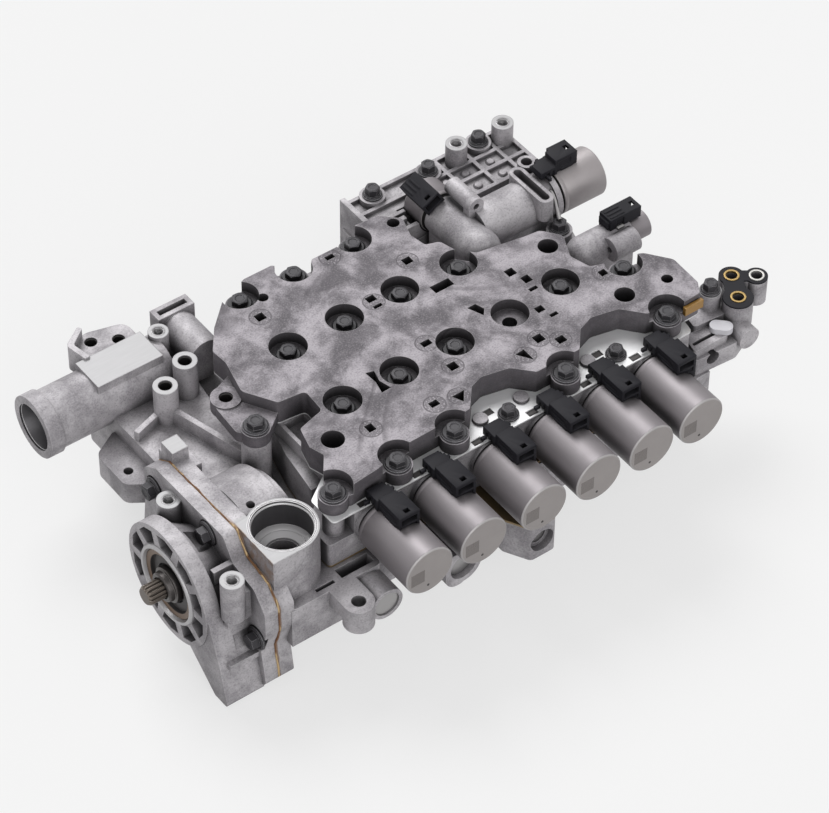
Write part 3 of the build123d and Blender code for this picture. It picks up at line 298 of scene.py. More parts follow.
def build_faced_area():
    """1 where a surface looks up and lies at the height of Centre, within Half Size of it in the plan."""
    tree, entry = open_group("faced_area", {"Vector": VECTOR, "Centre": VECTOR, "Half Size": VECTOR})
    up = separate(tree, new_node(tree, "ShaderNodeNewGeometry").outputs["Normal"])["Z"]
    gap = vector_math("ABSOLUTE", tree, vector_math("SUBTRACT", tree, entry["Vector"], entry["Centre"]))
    outside = greatest(tree, list(separate(tree, vector_math("SUBTRACT", tree, gap, entry["Half Size"]))))
    inside = map_range(tree, outside, 0.0, 0.0001, 1.0, 0.0)
    return close_group(tree, Faced=times(tree, inside, map_range(tree, up, 0.998, 0.9995)))


CAST_GRAIN = build_cast_grain()
WORN_EDGE = build_worn_edge()
ROUND_SPOT = build_round_spot()
FACED_AREA = build_faced_area()
CAVITY = build_cavity()
print("groups:", [g.name for g in bpy.data.node_groups])

# %% [markdown]
# Each finish starts from the same few nodes: object coordinates, one shader and its output.
# One helper makes them, and the others stand for the steps that a finish is built from.

# %% Helpers for finishes
def start_finish(name, metallic, roughness, color):
    material = bpy.data.materials.new(name)
    tree = empty_tree(material)
    look = {"Metallic": metallic, "Roughness": roughness, "Base Color": color}
    shader = new_node(tree, "ShaderNodeBsdfPrincipled", look)
    new_node(tree, "ShaderNodeOutputMaterial", {"Surface": shader.outputs[0]})
    return material, tree, shader, new_node(tree, "ShaderNodeTexCoord").outputs["Object"]


def place_group(tree, group, **values):
    inputs = {title.replace("_", " "): value for title, value in values.items()}
    return new_node(tree, "ShaderNodeGroup", inputs, node_tree=group).outputs


def blend(tree, factor, low, high):
    """A colour between two, by a mask."""
    return new_node(tree, "ShaderNodeMix", {0: factor, 6: low, 7: high}, data_type="RGBA").outputs[2]


def mix_value(tree, factor, low, high):
    return new_node(tree, "ShaderNodeMix", {0: factor, 2: low, 3: high}, data_type="FLOAT").outputs[0]


def bump(tree, height, normal=None):
    """A normal bent by a height in metres."""
    inputs = {"Strength": 1.0, "Distance": 1.0, "Height": height, "Normal": normal}
    return new_node(tree, "ShaderNodeBump", inputs).outputs["Normal"]


def stretched(tree, where, scale):
    """Coordinates scaled by axis, which draws a noise out into lines."""
    return new_node(tree, "ShaderNodeMapping", {"Scale": scale, "Vector": where}).outputs[0]


def shade(color, factor):
    return tuple(factor * v for v in color)


print("half of white:", shade((1, 1, 1), 0.5))

# %% [markdown]
# Cast metal. The upper body is a dark, blotched die casting with soft wavy flow lines, speckled round
# spots about its ports and bright worn edges, and its upright faces are painted darker as shade. The other
# castings are lighter, and a cutter has faced their boss tops, which shine. One function makes both from
# different numbers.

# %% Marks on cast metal
INLET = (-144.7, -67.4)
PORT_SPOTS = [
    (-67.7, 64.4), (-4.1, 82), (32, 52), (-5.4, 35), (-1.2, -11.6), (-27.3, -55), (-68.8, -49), (121, -26),
    (65, -56), (-12, -58), (40, -54), (55, -47.6), (0, -36),
]
SPOT_RADIUS = 0.0068
SPOT_DEPTH = 0.0003
# Bosses: place, height of the top, half the width that a cutter has faced, radius of the hole
THREADED_BOSSES = [
    (-182.2, -6.5, 92, 7.4, 3.4), (-187.4, -78.5, 91, 7.4, 3.4), (-113.8, 106, 99, 8, 3.3),
    (123.8, 124.3, 112, 7.2, 3.6), (159.3, 123, 112, 7.2, 3.6),
]
PLAIN_BOSSES = [(-114.8, 75.9, 99, 8, 4.3), (-135.9, 65.4, 99, 8, 4.3), (-117.8, 28, 109, 9.8, 4.3)]
LUG_BORES = [(-148, 128, 92, 0, 4.0), (-133, 120.5, 92, 0, 4.0)]
FACED_AREAS = [(x, y, top, half, half) for x, y, top, half, _ in THREADED_BOSSES + PLAIN_BOSSES]
FACED_AREAS += [(*INLET, 99.5, 22, 22), (-163, 17, 105.5, 14, 6.5)]
FACED_AREAS += [(-145, 101, 97.5, 23.2, 12.7), (179, -59.5, 95.5, 7.2, 7.2)]
FACED_COLOR = (0.4, 0.396, 0.404)
FACED_ROUGHNESS = 0.42
GASKET_X = -0.1668
STAIN_COLOR = (0.2, 0.105, 0.045)
SWELL_HEIGHT = 0.0006


def wavy_lines(tree, where, scale, count, width):
    """Long soft lines along the level curves of a smooth noise, here and there."""
    waves = noise(tree, where, scale, Detail=0.8, Distortion=0.35)
    step = math_node("FRACT", tree, times(tree, waves, count))
    off = size_of(tree, minus(tree, step, 0.5))
    line = map_range(tree, off, 0.0, width, 1.0, 0.0)
    return times(tree, line, map_range(tree, noise(tree, where, 2.1 * scale), 0.42, 0.62))


def gasket_stain(tree, where, patches):
    """Brown sealant on the metal on both sides of the pump gasket."""
    axes = separate(tree, where)
    off = size_of(tree, minus(tree, axes["X"], GASKET_X))
    near = math_node("DIVIDE", tree, off, map_range(tree, patches, 0.42, 0.62, 0.0006, 0.0018))
    side = map_range(tree, axes["Y"], -0.035, -0.055)
    return times(tree, map_range(tree, near, 0.3, 1.0, 0.8, 0.0), side)


def flow_marks_and_upright_shade(tree, where, grain, color, height, dark, depth):
    """Shallow wavy lines, a slow swell of the skin, and painted shade on upright faces."""
    lines = wavy_lines(tree, where, 11.0, 7.0, 0.16)
    height = minus(tree, height, times(tree, lines, depth))
    height = plus(tree, height, times(tree, grain["Patches"], SWELL_HEIGHT))
    color = blend(tree, times(tree, lines, 0.5), color, dark)
    lean = separate(tree, new_node(tree, "ShaderNodeTexCoord").outputs["Normal"])["Z"]
    # Painted shade: upright faces darken towards the dark tone.
    upright_shade = map_range(tree, size_of(tree, lean), 0.15, 0.75, 0.75, 0.0)
    return blend(tree, upright_shade, color, shade(dark, 0.85)), height


def port_discs(tree, where, grain, color, height, dark, light):
    """Speckled round spots about the ports, a little sunk, each with a broken dark rim."""
    spots = [
        place_group(tree, ROUND_SPOT, Vector=where, Centre=(x * MM, y * MM, 0.0), Radius=SPOT_RADIUS)
        for x, y in PORT_SPOTS
    ]
    disc, rim = (greatest(tree, [spot[title] for spot in spots]) for title in ("Spot", "Rim"))
    speckled = blend(tree, grain["Specks"], shade(dark, 0.9), light)
    color = blend(tree, times(tree, disc, 0.62), color, speckled)
    broken = times(tree, rim, map_range(tree, grain["Patches"], 0.4, 0.6, 0.25, 0.7))
    color = blend(tree, broken, color, shade(dark, 0.7))
    return color, minus(tree, height, times(tree, disc, SPOT_DEPTH))


def faced_tops(tree, where, color, rough, height):
    """Boss tops cut by a mill: brighter, smoother, and without the pebbled skin."""
    areas = []
    for x, y, z, half_x, half_y in FACED_AREAS:
        middle, half = (x * MM, y * MM, z * MM), (half_x * MM, half_y * MM, 0.2 * MM)
        areas.append(place_group(tree, FACED_AREA, Vector=where, Centre=middle, Half_Size=half)[0])
    tops = greatest(tree, areas)
    cutter = noise(tree, stretched(tree, where, (0.15, 2.0, 1.0)), 400.0)
    bright = blend(tree, cutter, shade(FACED_COLOR, 0.85), FACED_COLOR)
    rough, height = mix_value(tree, tops, rough, FACED_ROUGHNESS), mix_value(tree, tops, height, 0.0)
    return blend(tree, tops, color, bright), rough, height


print("faced areas:", len(FACED_AREAS), "port spots:", len(PORT_SPOTS))

# %% Cast finishes
CAST_METALLIC = 0.2
GRAIN_HEIGHT = 0.00016


def cast_finish(name, dark, light, worn, roughness, hollow_shade, reach, flow=0.0):
    """With flow marks and painted shade on upright faces it is the upper body's, with port spots. Without, the
    boss tops are faced.
    """
    material, tree, shader, where = start_finish(name, CAST_METALLIC, roughness, light)
    grain = place_group(tree, CAST_GRAIN, Vector=where, Patch_Scale=42.0, Grain_Scale=950.0)
    edge = place_group(tree, WORN_EDGE, Low=0.03, High=0.22)
    open_air = place_group(tree, CAVITY, Reach=reach)["Open"]
    patches = map_range(tree, grain["Patches"], 0.36, 0.64)
    color = blend(tree, patches, dark, light)
    color = blend(tree, times(tree, grain["Pits"], 0.32), color, shade(dark, 0.4))
    color = blend(tree, times(tree, grain["Specks"], 0.16), color, worn)
    height = times(tree, grain["Height"], GRAIN_HEIGHT)
    rough = mix_value(tree, patches, roughness + 0.05, roughness - 0.05)
    if flow:
        color, height = flow_marks_and_upright_shade(tree, where, grain, color, height, dark, flow)
        color, height = port_discs(tree, where, grain, color, height, dark, light)
    else:
        color, rough, height = faced_tops(tree, where, color, rough, height)
    color = blend(tree, times(tree, edge["Edge"], 0.6), color, worn)
    # Painted shade: bores and pockets darken towards the dark tone.
    color = blend(tree, open_air, shade(dark, hollow_shade), color)
    if not flow:
        color = blend(tree, gasket_stain(tree, where, grain["Patches"]), color, STAIN_COLOR)
    normal = bump(tree, height, edge["Round Normal"])
    fill(tree, shader, {"Base Color": color, "Roughness": rough, "Normal": normal})
    return material


dark_cast = cast_finish(
    "dark_die_cast", (0.108, 0.098, 0.11), (0.35, 0.325, 0.352), (0.6, 0.585, 0.6),
    roughness=0.6, hollow_shade=0.12, reach=0.022, flow=0.0004,
)
light_cast = cast_finish(
    "light_die_cast", (0.3, 0.284, 0.302), (0.53, 0.508, 0.53), (0.72, 0.705, 0.72),
    roughness=0.58, hollow_shade=0.22, reach=0.016,
)
print("cast finishes:", dark_cast.name, light_cast.name)

# %% [markdown]
# Metal that is rolled, drawn or turned has fine lines along its working direction and no pebbled skin.
# The lines are a noise stretched on one axis.

# %% Worked metal and plastic finishes
ALONG_X, ALONG_Y, ROUND_Z = (0.1, 1.0, 1.0), (1.0, 0.04, 1.0), (1.0, 1.0, 6.0)
TINNED_COLOR = (0.46, 0.45, 0.43)
TINNED_FROM_X = 0.2058


def worked_finish(name, color, metallic, roughness, lines=(1.0, 1.0, 1.0), line_scale=600.0, depth=0.00002,
                  stain=0.12, edge_gain=0.4, worn=None, hollow_shade=0.3, gloss=0.5):
    material, tree, shader, where = start_finish(name, metallic, roughness, color)
    grain = place_group(tree, CAST_GRAIN, Vector=where, Patch_Scale=45.0, Grain_Scale=1500.0)
    edge = place_group(tree, WORN_EDGE, Low=0.03, High=0.25)
    scratches = noise(tree, stretched(tree, where, lines), line_scale, Detail=2.0)
    tone = blend(tree, grain["Patches"], shade(color, 1 - stain), color)
    tone = blend(tree, times(tree, scratches, 0.25), tone, shade(color, 0.8))
    worn = worn or tuple(min(1.0, 1.45 * v + 0.03) for v in color)
    tone = blend(tree, times(tree, edge["Edge"], edge_gain), tone, worn)
    # Painted shade: the colour darkens in bores and pockets.
    tone = blend(tree, place_group(tree, CAVITY, Reach=0.012)["Open"], shade(color, hollow_shade), tone)
    rough = mix_value(tree, grain["Patches"], roughness + 0.07, roughness - 0.07)
    normal = bump(tree, times(tree, scratches, depth), edge["Round Normal"])
    fill(tree, shader, {"Base Color": tone, "Roughness": rough, "Normal": normal, "Specular IOR Level": gloss})
    return material


def recolor_past(material, line_x, color):
    """Past a line on the X axis a finish takes another colour: one eyelet of the three is tinned."""
    tree = material.node_tree
    base = tree.nodes["Principled BSDF"].inputs["Base Color"]
    across = separate(tree, new_node(tree, "ShaderNodeTexCoord").outputs["Object"])["X"]
    past = map_range(tree, across, line_x - 0.0005, line_x + 0.0005)
    tree.links.new(blend(tree, past, base.links[0].from_socket, color), base)


can_steel = worked_finish("drawn_can_steel", (0.275, 0.254, 0.266), 0.5, 0.5, ALONG_Y, 900.0, hollow_shade=0.08)
can_face = worked_finish("pressed_can_face", (0.375, 0.347, 0.34), 0.3, 0.5, stain=0.2, hollow_shade=0.5)
can_steel_across = worked_finish(
    "drawn_can_steel_across", (0.38, 0.352, 0.356), 0.5, 0.48, (0.04, 1.0, 1.0), 900.0, stain=0.25)
bright_edge = worked_finish("rubbed_edge_steel", (0.52, 0.5, 0.5), 0.3, 0.45, stain=0.4)
brown_steel = worked_finish("tempered_brown_steel", (0.15, 0.095, 0.06), 0.5, 0.4)
shaft_steel = worked_finish(
    "oiled_shaft_steel", (0.135, 0.112, 0.095), 0.55, 0.4, ALONG_X, edge_gain=0.8, worn=(0.4, 0.36, 0.31))
polished = worked_finish("polished_chamfer", (0.66, 0.65, 0.66), 0.35, 0.35, hollow_shade=0.7)
machined = worked_finish("machined_bore", (0.5, 0.49, 0.5), 0.45, 0.34, ROUND_Z, 700.0, hollow_shade=0.45)
oiled_hub = worked_finish("oiled_hub", (0.075, 0.068, 0.066), 0.6, 0.32, edge_gain=0.7, worn=(0.4, 0.37, 0.35))
# Painted shade: the dark walls of the port and the tube, and the disc deep in the tube.
bore_shade = worked_finish("painted_shade_bore_wall", (0.085, 0.082, 0.088), 0.4, 0.4, ROUND_Z, 700.0, hollow_shade=0.5)
black_moulding = worked_finish(
    "black_moulding", (0.013, 0.0125, 0.0165), 0.0, 0.6, edge_gain=0.3, worn=(0.06, 0.06, 0.07), gloss=0.2)
bolt_dark = worked_finish(
    "phosphated_bolt", (0.044, 0.042, 0.047), 0.3, 0.48, edge_gain=0.75, worn=(0.42, 0.41, 0.43), gloss=0.4)
bare_steel = worked_finish("ground_steel", (0.42, 0.41, 0.41), 0.7, 0.35, ALONG_X)
# Dark joints of the cans, and painted shade: linings of plain holes and plate slots, the port's bottom and the
# gap in the pump's mouth.
dark_gap_and_shade = worked_finish("dark_gap_and_painted_shade", (0.05, 0.045, 0.045), 0.3, 0.5)
etched_patch = worked_finish(
    "etched_patch", (0.26, 0.238, 0.23), 0.3, 0.65, line_scale=1100.0, depth=0.0004, stain=0.3)
gilt = worked_finish("gilt_eyelet", (0.37, 0.25, 0.09), 0.6, 0.35)
recolor_past(gilt, TINNED_FROM_X, TINNED_COLOR)
finish_of_slot = {
    "dark_casting": dark_cast, "light_casting": light_cast, "can_steel": can_steel, "bolt_steel": bolt_dark,
    "bare_steel": bare_steel, "gilt": gilt, "plastic_gasket": black_moulding, "black_plastic": black_moulding,
    "steel_plate": worked_finish("bright_rolled_plate", (0.8, 0.8, 0.81), 0.3, 0.4, ALONG_X, hollow_shade=0.75),
    "bronze_plate": worked_finish("bronze_plate_metal", (0.3, 0.22, 0.12), 0.6, 0.42),
    "gasket": worked_finish("gasket_fibre", (0.42, 0.25, 0.12), 0.0, 0.75, depth=0.00005, edge_gain=0.1),
    "spool_aluminium": worked_finish("turned_spool", (0.62, 0.62, 0.63), 0.8, 0.25, (1.0, 4.0, 1.0)),
    "rubber": worked_finish("black_rubber", (0.018, 0.017, 0.02), 0.0, 0.6, gloss=0.25),
    "amber_plastic": worked_finish("amber_plastic", (0.36, 0.19, 0.035), 0.0, 0.35, worn=(0.62, 0.42, 0.15)),
    "white_plastic": worked_finish("white_clip_plastic", (0.7, 0.69, 0.73), 0.0, 0.5, stain=0.05, hollow_shade=0.7),
}
slot_of_node = {s["node"]: s["material_slot"] for s in frame["record"]["subparts"]}
for name, node in nodes.items():
    node.data.materials.clear()
    node.data.materials.append(finish_of_slot[slot_of_node[name]])
print("finished nodes:", len(nodes))

# %% [markdown]
# The pieces below are meshes made by code. Each is shaded smooth except at sharp edges, takes its
# finish, rides on the housing and hides the CAD nodes it stands for.

# %% Helpers for pieces
SHARP_ANGLE = radians(32)
BODY = "housing"


def finish_mesh(bm, name):
    bmesh.ops.recalc_face_normals(bm, faces=bm.faces)
    mesh = bpy.data.meshes.new(name)
    bm.to_mesh(mesh)
    bm.free()
    return mesh


def dress_piece(name, mesh, finishes, replaced=()):
    if isinstance(mesh, bmesh.types.BMesh):
        mesh = finish_mesh(mesh, name)
    mesh.name = name
    mesh.polygons.foreach_set("use_smooth", [True] * len(mesh.polygons))
    mesh.set_sharp_from_angle(angle=SHARP_ANGLE)
    numbers = [face.material_index for face in mesh.polygons]
    mesh.materials.clear()
    for finish in finishes:
        mesh.materials.append(finish)
    mesh.polygons.foreach_set("material_index", numbers)
    piece = new_object(name, mesh)
    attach(piece, BODY)
    if replaced:
        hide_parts(*replaced)
    return piece


def put(x, y, z, angle=0.0, axis="X"):
    """Where a shape drawn in millimetres stands in the frame, in metres."""
    turn = Matrix.Rotation(radians(angle), 4, axis)
    return Matrix.Translation((x * MM, y * MM, z * MM)) @ turn @ Matrix.Scale(MM, 4)


def lathe(bm, profile, place, segments=96):
    """Spin (distance, radius, finish number) points about local Z. A radius of 0 closes the shape."""
    rings = []
    for along, radius, _ in profile:
        angles = [0.0] if radius == 0 else [2 * pi * i / segments for i in range(segments)]
        rings.append([bm.verts.new(place @ Vector((radius * cos(a), radius * sin(a), along))) for a in angles])
    for ring, following, point in zip(rings, rings[1:], profile):
        for i in range(segments):
            corners = [ring[i % len(ring)], ring[(i + 1) % len(ring)]]
            corners += [following[(i + 1) % len(following)], following[i % len(following)]]
            face = bm.faces.new(list(dict.fromkeys(corners)))
            face.material_index = point[2]


def rod(bm, bottom, top, radius, place, finish=0, segments=96):
    """A closed drum about local Z."""
    ends = [(bottom, 0, finish), (bottom, radius, finish), (top, radius, finish), (top, 0, finish)]
    lathe(bm, ends, place, segments)


def turned_ring(bm, section, place, segments=96):
    """Spin a closed section of (distance, radius, finish number) into a ring."""
    before = set(bm.verts)
    lathe(bm, [*section, section[0]], place, segments)
    bmesh.ops.remove_doubles(bm, verts=[v for v in bm.verts if v not in before], dist=1e-7)


def turned_piece(name, place, finishes, rings, disc=None):
    """A piece of rings turned about one line, and perhaps a disc that closes a bore."""
    bm = bmesh.new()
    for section in rings:
        turned_ring(bm, section, place)
    if disc:
        rod(bm, *disc[:3], place, disc[3])
    return dress_piece(name, bm, finishes)


def add_block(bm, low, high, place=Matrix(), finish=0):
    """A box between two corners, put in place."""
    xs, ys, zs = zip(low, high)
    verts = [bm.verts.new(place @ Vector((x, y, z))) for x in xs for y in ys for z in zs]
    for face in ((0, 1, 3, 2), (4, 6, 7, 5), (0, 4, 5, 1), (2, 3, 7, 6), (0, 2, 6, 4), (1, 5, 7, 3)):
        bm.faces.new([verts[i] for i in face]).material_index = finish


TO_METRES = put(0, 0, 0)
print("pieces ride on", BODY)

# %% [markdown]
# A solenoid can is a steel cup drawn over its coil. It has a dark gap where it meets its collar, a
# rolled bead, a bright rounded front edge and a flat front face. All of that is one outline spun round
# the axis, as on a lathe, so one function makes the eight large cans.

# %% Solenoid cans
FRONT_CANS = [-89.3, -50.5, -6.8, 33.6, 73.5, 111.2]
CAN_RADIUS = 16.5
CAN_EDGE = 0.8
CAN_LENGTH = 49.0
CAN_AXIS_Z = 84.0
CAN_BACK_Y = -85.0
REAR_CAN, REAR_LENGTH = (150, 65, 100), 35.0
LEFT_REAR_CAN, LEFT_REAR_LENGTH, LEFT_REAR_RADIUS = (85, 88, 100), 20.0, 14.5
NOSE_LENGTH, NOSE_RADIUS = 15.0, 8.0
STEEL, BRIGHT, DARK, PATCH, FACE = range(5)


def can_profile(length, radius):
    edge = length - CAN_EDGE
    return [
        (-NOSE_LENGTH, 0, DARK), (-NOSE_LENGTH, NOSE_RADIUS - 0.6, DARK), (0.6 - NOSE_LENGTH, NOSE_RADIUS, DARK),
        (0.0, NOSE_RADIUS, DARK), (0.0, radius - 2.2, DARK), (2.0, radius - 2.2, DARK),
        (2.0, radius - 0.7, BRIGHT), (2.2, radius - 0.2, STEEL), (2.8, radius, STEEL), (4.4, radius, STEEL),
        (4.7, radius - 0.14, STEEL), (5.1, radius - 0.14, STEEL), (5.4, radius, STEEL),
        (edge, radius, BRIGHT), (length - 0.2, radius - 0.4, BRIGHT), (length, radius - CAN_EDGE, FACE),
        (length, radius - 1.9, FACE), (length - 0.16, radius - 2.1, FACE), (length - 0.16, 0, FACE),
    ]


def make_can(name, place, length, radius, skin, marks=True):
    bm = bmesh.new()
    lathe(bm, can_profile(length, radius), place)
    if marks:
        add_block(bm, (-13.0, -6.4, length - 0.3), (-3.6, 3.2, length - 0.08), place, PATCH)
        rod(bm, 0.0, 0.26, 0.85, place @ Matrix.Translation((-1.0, -11.0, length - 0.3)), DARK, 20)
    finishes = [skin, bright_edge, dark_gap_and_shade, etched_patch, can_face]
    dress_piece(name + "_can", bm, finishes, (name,))


for number, x in enumerate(FRONT_CANS, start=1):
    make_can(f"solenoid_{number}", put(x, CAN_BACK_Y, CAN_AXIS_Z, 90), CAN_LENGTH, CAN_RADIUS, can_steel)
make_can("rear_solenoid", put(*REAR_CAN, 90, "Y"), REAR_LENGTH, CAN_RADIUS, can_steel_across, marks=False)
left_place = put(*LEFT_REAR_CAN, -90)
make_can("left_rear_solenoid", left_place, LEFT_REAR_LENGTH, LEFT_REAR_RADIUS, can_steel, marks=False)
print("cans:", len(FRONT_CANS) + 2)

# %% [markdown]
# Each can carries a black plug socket: a tall front box with an open mouth and a small latch window,
# and a lower ribbed tail behind. A Boolean modifier joins and hollows boxes, then a Bevel modifier
# rounds every edge, as a mould does. The can is one of the cutters, so the underside fits it exactly.

# %% Carving boxes
MOULD_RADIUS = 0.35
BEVEL_FROM = radians(40)


def carve(name, solids, hollows, drums):
    """Join boxes, cut boxes and drums out of them, round the edges. All in millimetres."""
    parts = []
    for title, boxes, rods in ((name + "_solid", solids, ()), (name + "_hollow", hollows, drums)):
        bm = bmesh.new()
        for low, high in boxes:
            add_block(bm, low, high)
        for place, radius, depth in rods:
            rod(bm, 0.0, depth, radius, place)
        parts.append(new_object(title, finish_mesh(bm, title)))
    base, cutter = parts
    cut = base.modifiers.new("cut", "BOOLEAN")
    set_all(cut, operation="DIFFERENCE", solver="EXACT", use_self=True, object=cutter)
    round_edges = base.modifiers.new("round", "BEVEL")
    set_all(round_edges, width=MOULD_RADIUS, segments=2, limit_method="ANGLE", angle_limit=BEVEL_FROM)
    mesh = evaluated_mesh(base)
    bpy.data.objects.remove(cutter)
    return mesh


def evaluated_mesh(carrier):
    """The plain mesh that an object's modifiers or curve give. The object itself goes."""
    bpy.context.view_layer.update()
    graph = bpy.context.evaluated_depsgraph_get()
    mesh = bpy.data.meshes.new_from_object(carrier.evaluated_get(graph))
    bpy.data.objects.remove(carrier)
    return mesh


def can_drum(x, y, can_radius, gap, depth):
    """The can below a socket, as a cutter along local Y."""
    place = Matrix.Translation((x, y, -can_radius)) @ Matrix.Rotation(radians(-90), 4, "X")
    return place, can_radius + gap, depth


print("mould radius:", MOULD_RADIUS, "mm")

# %% Plug sockets
def socket_shape(half_width, front, rear, height, drop):
    """Boxes and hollows of a socket: a tall front box and a lower tail behind."""
    w, h, low = half_width, height, height - drop
    solids = [
        ((-w, 0, -9), (w, front, h)),
        ((-w - 1.2, front - 0.4, -9), (w - 2.2, rear - 7, low)),
        ((-w - 1.2, front - 0.2, 1.0), (w - 2.2, rear, low)),
        ((-w - 5.5, rear - 5, 1.0), (0, rear - 3.2, 3.4)),
        ((-w - 0.5, 3.5, -7), (-w + 0.2, 0.75 * front, 1.6)),
        ((w - 4.4, rear - 7.4, low - 4), (w - 0.6, rear - 5.4, low - 0.5)),
    ]
    hollows = [
        ((-1.4, 2.2, h - 2.6), (2.2, 5.4, h + 1)),
        ((-w + 1.6, -1, 1.4), (w - 1.8, 12.0, h - 2.4)),
        ((w - 2.2, front - 2.6, low - 2), (w + 1, front + 1, h + 1)),
        ((-w - 0.6, 5.0, 3.0), (-w + 0.5, front - 2.5, h - 2.2)),
        ((w - 0.5, 3.0, 1.6), (w + 0.6, front - 4, h - 2.2)),
        ((-w - 1.9, front + 1.6, -2.0), (-w - 0.6, front + 3.6, low - 2.0)),
        ((-w - 1.9, front + 5.4, -2.0), (-w - 0.6, front + 7.4, low - 2.0)),
        ((w - 4.0, rear - 3.4, low - 2), (w - 1.6, rear + 1, low + 1)),
        ((-w + 1.6, -1, -3.2), (w - 1.8, 0.8, 0.2)),
    ]
    return solids, hollows


def plain_shape(half_width, length, height):
    """A smaller socket: one box with a step behind and three ribs on top."""
    w, middle = half_width, 0.5 * length
    tail = ((-w + 1, length - 0.5, 0.5), (w - 1, length + 1.2, height - 2.2))
    solids = [((-w, 0, -8), (w, length, height)), tail]
    for step in (0, 3, 6):
        solids.append(((-w + 1.4 + step, middle, height - 0.5), (-w + 2.6 + step, length - 1.2, height + 0.5)))
    hollows = [
        ((-w + 1.6, -1, 1.2), (w - 1.6, 11.0, height - 1.7)),
        ((-1.8, 2.0, height - 2.4), (1.8, 4.8, height + 1)),
        ((-w - 1, 0.55 * length, 1.0), (-w + 0.7, 0.8 * length, height - 2.0)),
    ]
    return solids, hollows


def make_socket(name, node, shape, place, *drums):
    mesh = carve(name, *shape, drums)
    mesh.transform(place)
    dress_piece(name, mesh, [black_moulding], (node,))


SOCKET_SHIFTS = [(-3.2, 3.2), (-1.2, 2.4), (-0.8, 2.2), (-0.8, 0.8), (0.0, -1.5), (2.8, 0.4)]
FRONT_SOCKET = socket_shape(7.1, 20.5, 31.0, 8.6, 1.3)
REAR_SOCKET = socket_shape(6.5, 17.0, 29.0, 9.6, 3.6)
SOCKET_OFFSET, SOCKET_Y, CAN_UNDER_SOCKET = 6.0, -107.5, 23.8
SIDE_CAN_RADIUS = 11
THROUGH = 60
for number, (x, (aside, forward)) in enumerate(zip(FRONT_CANS, SOCKET_SHIFTS), start=1):
    offset = SOCKET_OFFSET + aside
    place = put(x + offset, SOCKET_Y - forward, CAN_AXIS_Z + CAN_RADIUS)
    drum = can_drum(-offset, -1.0, CAN_RADIUS, 0, CAN_UNDER_SOCKET + forward)
    make_socket(f"socket_{number}", f"connector_{number}", FRONT_SOCKET, place, drum)
drum = can_drum(-3.5, -3.0, CAN_RADIUS, 0.1, THROUGH)
make_socket("rear_socket", "rear_connector", REAR_SOCKET, put(170.5, 68.5, 116.5, 90, "Z"), drum)
tilted = put(LEFT_REAR_CAN[0], 0, LEFT_REAR_CAN[2], -30, "Y") @ Matrix.Translation((0, 84, LEFT_REAR_RADIUS))
drum = can_drum(0, -3, LEFT_REAR_RADIUS, 0.1, THROUGH)
make_socket("left_rear_socket", "left_rear_connector", plain_shape(7.0, 24.0, 9.0), tilted, drum)
drums = (can_drum(-2, -3, SIDE_CAN_RADIUS, 0.1, THROUGH), can_drum(-2, 13.6, SIDE_CAN_RADIUS, 1.4, 5.8))
make_socket("side_socket", "side_connector", plain_shape(5.5, 24.0, 8.0), put(178, 13, 108, 90, "Z"), *drums)
print("sockets:", len(FRONT_CANS) + 3)

# %% [markdown]
# Thirty flange bolts hold the castings together. They differ only in size and place, so Geometry
# Nodes make them: one tree builds a bolt from its measures and puts it on every point of a small mesh
# of places. The head is a hexagon cut by a cone, which leaves the curved corners of a real head, with a
# shallow dish on top and a stepped flange below.

# %% Growing copies with Geometry Nodes
def growing_tree(name, measures):
    sockets = {"Places": GEOMETRY, **dict.fromkeys(measures, FLOAT), "Axis Turn": VECTOR,
               "Seed": "NodeSocketInt", "Finish": "NodeSocketMaterial"}
    tree, entry = open_group(name, sockets, "GeometryNodeTree")
    tree.is_modifier = True
    return tree, entry


def euler_turn(tree, angles):
    return new_node(tree, "FunctionNodeEulerToRotation", {0: angles}).outputs[0]


def stand_on_places(tree, entry, shape, rotation):
    """Copy a shape to every point of the places, turned, as real faces with their finish."""
    inputs = {"Points": entry["Places"], "Instance": shape, "Rotation": rotation}
    copies = new_node(tree, "GeometryNodeInstanceOnPoints", inputs).outputs[0]
    real = new_node(tree, "GeometryNodeRealizeInstances", {0: copies}).outputs[0]
    finish = new_node(tree, "GeometryNodeSetMaterial", {"Geometry": real, "Material": entry["Finish"]})
    return close_group(tree, Copies=finish.outputs[0])


def grow_on_points(name, tree, places, values):
    """Run a Geometry Nodes tree on a mesh of points, and return the plain mesh, in metres."""
    points = bpy.data.meshes.new(name + "_places")
    points.from_pydata(places, [], [])
    carrier = new_object(name + "_places", points)
    grower = carrier.modifiers.new("grow", "NODES")
    grower.node_group = tree
    for item in tree.interface.items_tree:
        if item.in_out == "INPUT" and item.name in values:
            grower[item.identifier] = values[item.name]
    mesh = evaluated_mesh(carrier)
    mesh.transform(Matrix.Scale(MM, 4))
    return mesh


print("trees so far:", len(bpy.data.node_groups))

# %% Flange bolts
BOLT_MEASURES = ["Across Flats", "Flange Radius", "Flange Height", "Head Height", "Shank Radius", "Shank Length"]
FLANGE_HEIGHT, SHANK_RADIUS = 1.8, 3.0
CORNER_SHARE = 0.57735
SIXTH_TURN = 1.047


